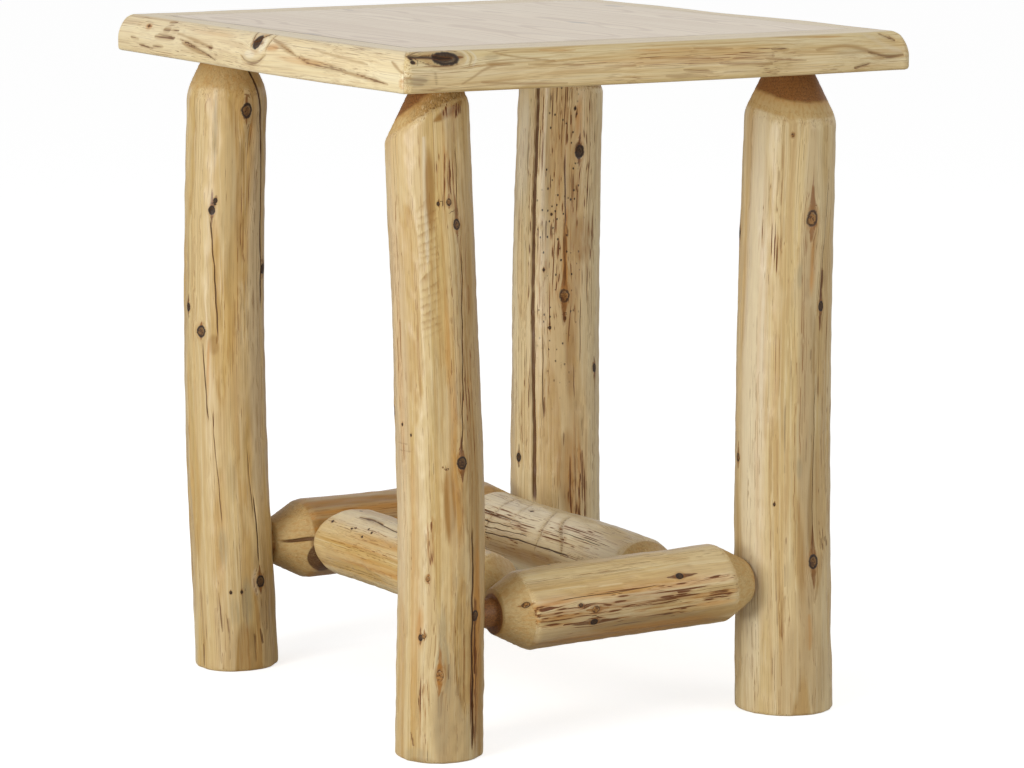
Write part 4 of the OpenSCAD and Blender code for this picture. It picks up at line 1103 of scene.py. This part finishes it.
def peeled_wood(name, pale, cream, straw, rings, crest, crest_share):
    """Log wood from the piece's own vectors: grain is the place in the straightened log in mm. The
    crest is a painted highlight along the ridges between two flats, and on an edging rail the paler
    colour of its flat top."""
    f = Finish(name)
    grain, gx, gy, gz = f.note("grain")
    _, knot_u, knot_v, knot_near = f.note("knot")
    _, orange, grey, dark = f.note("tint")
    _, crack, fleck, halo = f.note("wear")
    _, depth, tool, torn = f.note("cut")
    _, shade, paleness, pins = f.note("shade")
    _, ridge, sap, cleft = f.note("make")
    rough = depth.over(0.4, 1.6)
    skin = 1 - rough

    def lines(across, along, detail=2, roughness=0.5):
        """Soft noise drawn out along the grain: lumps 1 / across wide and 1 / along long, in mm."""
        return f.noise(grain, (across, across, along), detail, roughness)

    # Young wood: soft bands, year rings that the flats cut, strands and fibres.
    band = lines(0.10, 0.0012)
    strand = lines(0.36, 0.0055)
    fibre = lines(1.3, 0.02, 3, 0.6)
    f.colour = f.mix(band.over(0.40, 0.60), cream, pale)
    f.paint(lines(0.035, 0.0012, 1).over(0.46, 0.60) * 0.6, straw)
    radius = (gx * gx + gy * gy) ** 0.5 + lines(0.04, 0.002) * 2.2
    ring = (radius * (TAU / RING_GAP)).maths("SINE")
    f.paint(ring.over(0.3, 1.0) * rings, "ring")
    f.paint(strand.over(0.53, 0.64) * 0.5, "dark strand")
    f.paint((1 - strand).over(0.54, 0.66) * 0.45, "light strand")
    f.paint(fibre.over(0.46, 0.70) * 0.42, "fibre")
    # Pale stains: paler wood, and painted light where a side should look more lit.
    f.paint(paleness * 0.5, "pale wood and painted light")
    # Shade stains: darker wood, and painted shade at feet, undersides and sides turned from the
    # lamps.
    f.paint(shade * (band * 0.6 + 0.4), "dark wood and painted shade")
    # A painted highlight along the ridges between flats; on a rail, a paler flat top.
    f.paint(ridge * crest_share, crest)

    # What lies on it: resin streaks, hairs, pointed flecks, weathered patches and pin holes.
    wide = (orange - 1.0).maths("MAXIMUM", 0.0) * 0.4
    f.paint((lines(0.16, 0.0022) + wide).over(0.36, 0.62) * orange.maths("MINIMUM", 1.0) * 0.85,
            "resin")
    clump = lines(0.07, 0.004, 1).over(0.40, 0.62)
    hairs = clump * 0.65 + 0.14 + orange * 0.25 + fleck * 0.3
    f.paint(lines(1.5, 0.007).over(0.57, 0.66) * hairs * skin, "hair line")
    room = fleck * (lines(0.06, 0.010, 1) * 1.2 + 0.4) + 0.01
    long_mark = f.spindles(grain, (0.66, 0.66, 0.015), room * 0.55)
    more = (room - 0.25).maths("MAXIMUM", 0.01)
    short_mark = f.spindles(grain, (0.45, 0.45, 0.055), more * 0.55)
    mark = long_mark.maths("MINIMUM", short_mark) + (fibre - 0.5) * 0.9
    f.paint((1 - mark.over(1.0, 2.1)) * skin * 0.5, "fleck edge")
    core = (1 - mark.over(0.75, 1.15)) * skin
    f.paint(core * 0.90, f.mix(grey, "fleck", "grey fleck"))
    weather = lines(0.25, 0.010, 3, 0.6).over(0.3, 0.6) * 0.7 + 0.3
    f.paint(grey * weather * 0.55 * skin, "weathered")
    pin = (1 - f.cells(grain, (0.17, 0.17, 0.11)).over(0.10, 0.16)) * pins
    f.paint(pin * 0.95, "pin hole")

    # What the cutter laid bare: torn fuzz, the first year rings and the heartwood inside.
    speck = lines(1.0, 0.5, 3, 0.7)
    tuft = lines(0.85, 0.15, 2, 0.6)
    bare = f.mix(torn.over(0.0, 0.8), "cut wood", "torn wood")
    bare = f.mix(speck.over(0.40, 0.64) * (0.10 + torn * 0.7), bare, "torn speck")
    bare = f.mix(strand.over(0.46, 0.62) * 0.5, bare, "torn strand")
    bare = f.mix(tuft.over(0.54, 0.64) * torn * 0.85, bare, "dark tuft")
    bare = f.mix((1 - tuft).over(0.60, 0.70) * torn * 0.8, bare, "light tuft")
    f.paint(rough * 0.92, bare)
    first_rings = (depth + lines(0.30, 0.01, 1) * 3.0) * (TAU / CONE_RING_GAP)
    scallops = first_rings.maths("SINE").over(0.86, 0.98) * (1 - depth.over(2.0, 4.0))
    f.paint(scallops * rough * 0.45, "scallop")
    wander = (lines(0.11, 0.04) - 0.5) * (1.5 + torn * 4.0)
    heart = (depth + wander - sap).over(-0.6, 1.2 + torn * 1.5)
    heart_wood = f.mix(speck.over(0.38, 0.66), "heart", "dark heart")
    heart_wood = f.mix(tuft.over(0.56, 0.68) * torn * 0.8, heart_wood, "heart tuft")
    lathe = (gz * (TAU / LATHE_PITCH) + speck * 5.0).maths("SINE").over(0.5, 1.0) * (1 - torn)
    heart_wood = f.mix(lathe * 0.5, heart_wood, "lathe line")
    f.paint((depth - sap).over(-3.5, 1.0) * 0.5, "heart edge")
    f.paint(heart * 0.95, heart_wood)
    # Strong shade stains: dark bark patches, partly painted shade.
    f.paint(shade.over(1.6, 2.4) * (fibre.over(0.3, 0.6) * 0.2 + 0.75), "bark patch and painted shade")

    # Knots: a flame along the grain, a collar, and a plug with its rings and rim.
    grit = lines(0.6, 0.6, 3, 0.6)
    lump = lines(0.25, 0.20, 1)
    away = (knot_u * knot_u + knot_v * knot_v) ** 0.5 + (grit - 0.5) * 0.4 + (lump - 0.5) * 0.4

    def hoop(rise, full, fall, none):
        """A ring round a knot, between distances told in knot radii."""
        return away.over(rise, full) * (1 - away.over(fall, none)) * knot_near

    inside = (1 - away.over(0.90, 1.05)) * knot_near
    rim = hoop(0.55, 0.88, 1.00, 1.22)
    glow = (knot_u * 0.6 + knot_v * 0.5 + (grit - 0.5) * 3.0).over(0.1, 0.6) * (1.15 - dark)
    flame = (halo * (1 + (strand - 0.5) * 2.4 + (fibre - 0.5) * 1.6)).over(0.10, 0.60)
    prongs = flame * (fibre.over(0.3, 0.6) * 0.25 + 0.75)
    f.paint(prongs * (dark * 0.3 + 0.68), f.mix(dark, "flame", "dark flame"))
    f.paint(hoop(1.05, 1.25, 1.25, 2.0) * 0.30, "collar")
    plug = f.mix(grit.over(0.40, 0.60), "plug", "dark plug")
    plug = f.mix(dark.over(0.35, 0.95) * 0.9, plug, "black plug")
    plug = f.mix(hoop(0.50, 0.62, 0.70, 0.80) * glow * 0.8, plug, "plug ring")
    f.paint(inside * 0.96, plug)
    f.paint(rim * dark.over(0.15, 0.65) * 0.95, "rim")

    # Strokes, cracks and chops.
    fray = lines(1.1, 0.03, 2, 0.6)
    split = (crack * (fray.over(0.3, 0.7) * 0.75 + 0.45)).over(0.1, 0.8)
    f.paint(split * 0.92, f.mix(crack.over(0.68, 0.95), "stroke", "deep crack"))
    solid = (cleft * (fray.over(0.25, 0.5) * 0.25 + 0.75)).over(0.15, 0.55)
    f.paint(solid * 0.95, f.mix(cleft.over(0.70, 0.92), "crack", "deep crack"))
    f.paint(tool * 0.6, "hewn")

    # Relief, gloss and lacquer follow what was painted.
    height = fibre * 0.08 + strand * 0.15 - core * 0.35 - pin * 0.6
    height = height + rough * (0.04 + torn) * (speck + tuft * 0.8)
    height = height + inside * grit * 0.8 - (crack + cleft) * 0.3 - rim * 0.3
    roughness = 0.36 + fibre * 0.10 + rough * 0.16 + (inside + crack + core) * 0.2
    coat = 0.26 - (rough + crack) * 0.12 - inside * 0.14 - core * 0.2
    return f.close(roughness, height, 0.0007, coat, 0.32)


log_wood = peeled_wood(
    "lacquered peeled log", "#E3CB95", "#D6BA7C", "#CBA45C", 0.28, "#EADAB0", 0.25)
edging_wood = peeled_wood(
    "lacquered split edging", "#EDDDB0", "#E6D19B", "#DDC084", 0.14, "#F2DFBA", 0.85)

# %% [markdown]
# ## The boards
#
# The field is five planed softwood boards, glued edge to edge with the grain running front to back.
# Each board is sawn from another part of a log, so each has its own pith below it and its own tint.
# The seams are hairlines. The lacquer is smoother here than on the logs, and it mirrors the bright
# room at a low angle, which is why the top looks paler and greyer than the legs.

# %% The boards
BOARDS = 5
BOARD_W = (TOP_W - 2 * SIDE_RAIL) / BOARDS
BOARD_RING_GAP = 4.2
SEAM_FROM, SEAM_FULL = 0.4965, 0.4995


def board_finish():
    """Planed wood on object coordinates in metres: rings round a pith that differs by board."""
    f = Finish("lacquered planed boards")
    place = f.node("ShaderNodeTexCoord", out=3)
    x, y, z = f.split(f.scaled(place, (1 / MM, 1 / MM, 1 / MM), (0, 0, 0)))
    share = x / BOARD_W + BOARDS / 2
    number = share.maths("FLOOR")
    inside = share - number
    pick = f.node("ShaderNodeTexWhiteNoise", {"noise_dimensions": "1D"}, {"W": number + 3.0}, out=1)
    r1, r2, r3 = f.split(pick)
    shifted = f.node("ShaderNodeCombineXYZ", None, {0: x + r1 * 700.0, 1: y + r2 * 900.0, 2: z})
    wander = f.noise(shifted, (0.012, 0.004, 0.012))
    pith_x = (inside - 0.5) * BOARD_W + (r1 - 0.5) * 60.0
    pith_z = 24.0 + r2 * 50.0 + (z - TABLE_TOP)
    from_pith = (pith_x * pith_x + pith_z * pith_z) ** 0.5 + wander * 26.0
    ring = (from_pith * (TAU / BOARD_RING_GAP)).maths("SINE")
    fibre = f.noise(shifted, (1.2, 0.03, 1.2), 3, 0.6)
    band = f.noise(shifted, (0.08, 0.004, 0.08))
    f.colour = f.mix(band.over(0.35, 0.65), "board", "board band")
    f.paint(r3 * 0.35, "brown board")
    f.paint(ring.over(0.2, 1.0) * 0.38, "board ring")
    f.paint(fibre.over(0.5, 0.8) * 0.30, "board fibre")
    knot = 1 - f.cells(shifted, (0.011, 0.0045, 0.0)).over(0.04, 0.10)
    f.paint(knot * 0.55, "board knot")
    seam = (inside - 0.5).maths("ABSOLUTE").over(SEAM_FROM, SEAM_FULL)
    f.paint(seam * 0.5, "board seam")
    height = fibre * 0.05 + ring * 0.02 - seam * 0.25
    return f.close(0.30 + fibre * 0.08, height, 0.0005, 0.35, 0.15)


board_wood = board_finish()

# %% [markdown]
# ## The dowels
#
# Round hardwood dowels, glued half into the edging and half into the boards, hold the edging in
# place. They are hidden in the top, so their finish is plain: fine fibres and soft bands, laid by
# object coordinates, because pieces from the CAD model have no vectors of their own.

# %% The dowels
def dowel_finish():
    """Bare turned hardwood: even cream with fine fibres and small variation, unlacquered."""
    f = Finish("bare dowel wood")
    place = f.node("ShaderNodeTexCoord", out=3)
    fibre = f.noise(place, (900.0, 900.0, 900.0), 3, 0.6)
    f.colour = f.mix(fibre.over(0.4, 0.75) * 0.5, "dowel", "dowel fibre")
    f.paint(f.noise(place, (60.0, 60.0, 60.0)).over(0.4, 0.7) * 0.4, "dowel band")
    return f.close(0.55 + fibre * 0.15, fibre, 0.0002, 0.0, 0.3)


dowel_wood = dowel_finish()

# %% [markdown]
# ## Putting the pieces on the frame
#
# The logs and rails stand for their CAD nodes. The boards and dowels are right as they are, so
# their CAD nodes stay and only get their wood.

# %% Pieces on the frame
for name, piece in log_pieces.items():
    piece.data.materials.append(log_wood)
    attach(piece, "root")
    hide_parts(name)
for side, piece in rail_pieces.items():
    piece.data.materials.append(edging_wood)
    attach(piece, "root")
    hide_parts("edge_rail_" + side)
kept = {"board": (board_wood, "board_wood"), "dowel": (dowel_wood, "dowel_wood")}
for name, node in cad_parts.items():
    for kind, (wood, slot) in kept.items():
        if kind in name:
            node.data.materials.clear()
            node.data.materials.append(wood)
print("pieces made:", len(log_pieces) + len(rail_pieces))

# %% [markdown]
# ## The studio
#
# The table stands on a pale floor in a white room. The light is soft and comes from the upper left,
# so the left sides of the legs are bright and their right sides a warm shade darker.

# %% Floor, room and lamps
def stage_floor(size, glow):
    """A wide pale sheet that shows white to the camera and keeps the table's soft shadow."""
    mesh = bpy.data.meshes.new("floor")
    mesh.from_pydata([(-size, -size, 0), (size, -size, 0), (size, size, 0), (-size, size, 0)],
                     [], [(0, 1, 2, 3)])
    piece = bpy.data.objects.new("floor", mesh)
    bpy.context.scene.collection.objects.link(piece)
    f = Finish("pale floor")
    seen = f.node("ShaderNodeLightPath")
    base = f.node("ShaderNodeBsdfDiffuse", None, {"Color": tone("pale floor")})
    light = f.node("ShaderNodeEmission", None, {"Color": (1, 1, 1, 1), "Strength": seen * glow})
    both = f.node("ShaderNodeAddShader", None, {0: base, 1: light})
    f.node("ShaderNodeOutputMaterial", None, {"Surface": both})
    mesh.materials.append(f.owner)


def white_room(strength):
    """A world that lights at a plain level and looks white to the camera and in reflections."""
    f = Finish("white room", bpy.data.worlds)
    bpy.context.scene.world = f.owner
    camera_ray = f.node("ShaderNodeLightPath")
    seen = camera_ray + camera_ray.also("Is Glossy Ray")
    level = f.node("ShaderNodeMapRange", None, {"Value": seen, "To Min": strength, "To Max": 1.0})
    sky = f.node("ShaderNodeBackground", None, {"Strength": level})
    f.node("ShaderNodeOutputWorld", None, {"Surface": sky})


def soft_lamp(name, place, target, size, watts):
    """A square soft box at a place, turned towards a target."""
    lamp = bpy.data.lights.new(name, "AREA")
    lamp.shape, lamp.size, lamp.energy = "SQUARE", size, watts
    holder = bpy.data.objects.new(name, lamp)
    holder.location = place
    holder.rotation_euler = (Vector(target) - Vector(place)).to_track_quat("-Z", "Y").to_euler()
    bpy.context.scene.collection.objects.link(holder)
    print(f"{name}: {watts} W")


stage_floor(14.0, 0.74)
white_room(0.47)
soft_lamp("left key", (-2.85, -1.15, 1.62), (0, 0, 0.3), 1.4, 35.5)
soft_lamp("low left key", (-3.05, -0.95, 0.45), (0, 0, 0.35), 0.8, 32)
soft_lamp("right fill", (1.5, -2.8, 1.0), (0, 0, 0.3), 1.6, 20.5)
soft_lamp("lamp above", (0, 0.3, 2.6), (0, 0, 0.6), 1.2, 5.5)

# %% [markdown]
# ## The camera
#
# The picture was taken with a long lens from just above the top, thirty degrees to the left of the
# front. The camera's place, turn and lens were worked out from the corners of the top and the legs.

# %% The camera
LENS, SENSOR = 140.57, 36.0
YAW, PITCH, ROLL = math.radians(29.91), math.radians(9.09), math.radians(-0.04)
EYE = Vector((-1788.71, -3128.72, 856.79)) * MM
NEAREST, FARTHEST = 0.1, 60
ahead = Vector((math.sin(YAW) * math.cos(PITCH), math.cos(YAW) * math.cos(PITCH), -math.sin(PITCH)))
level_right = Vector((math.cos(YAW), -math.sin(YAW), 0))
level_up = level_right.cross(ahead)
right = level_right * math.cos(ROLL) + level_up * math.sin(ROLL)
up = level_up * math.cos(ROLL) - level_right * math.sin(ROLL)
camera_data = bpy.data.cameras.new("camera")
camera_data.lens, camera_data.sensor_width, camera_data.sensor_fit = LENS, SENSOR, "HORIZONTAL"
camera_data.clip_start, camera_data.clip_end = NEAREST, FARTHEST
camera = bpy.data.objects.new("camera", camera_data)
camera.matrix_world = Matrix.Translation(EYE) @ Matrix((right, up, -ahead)).transposed().to_4x4()
bpy.context.scene.collection.objects.link(camera)
bpy.context.scene.camera = camera
bpy.context.scene.view_settings.view_transform = "Standard"
print("camera at", tuple(round(v, 3) for v in EYE))
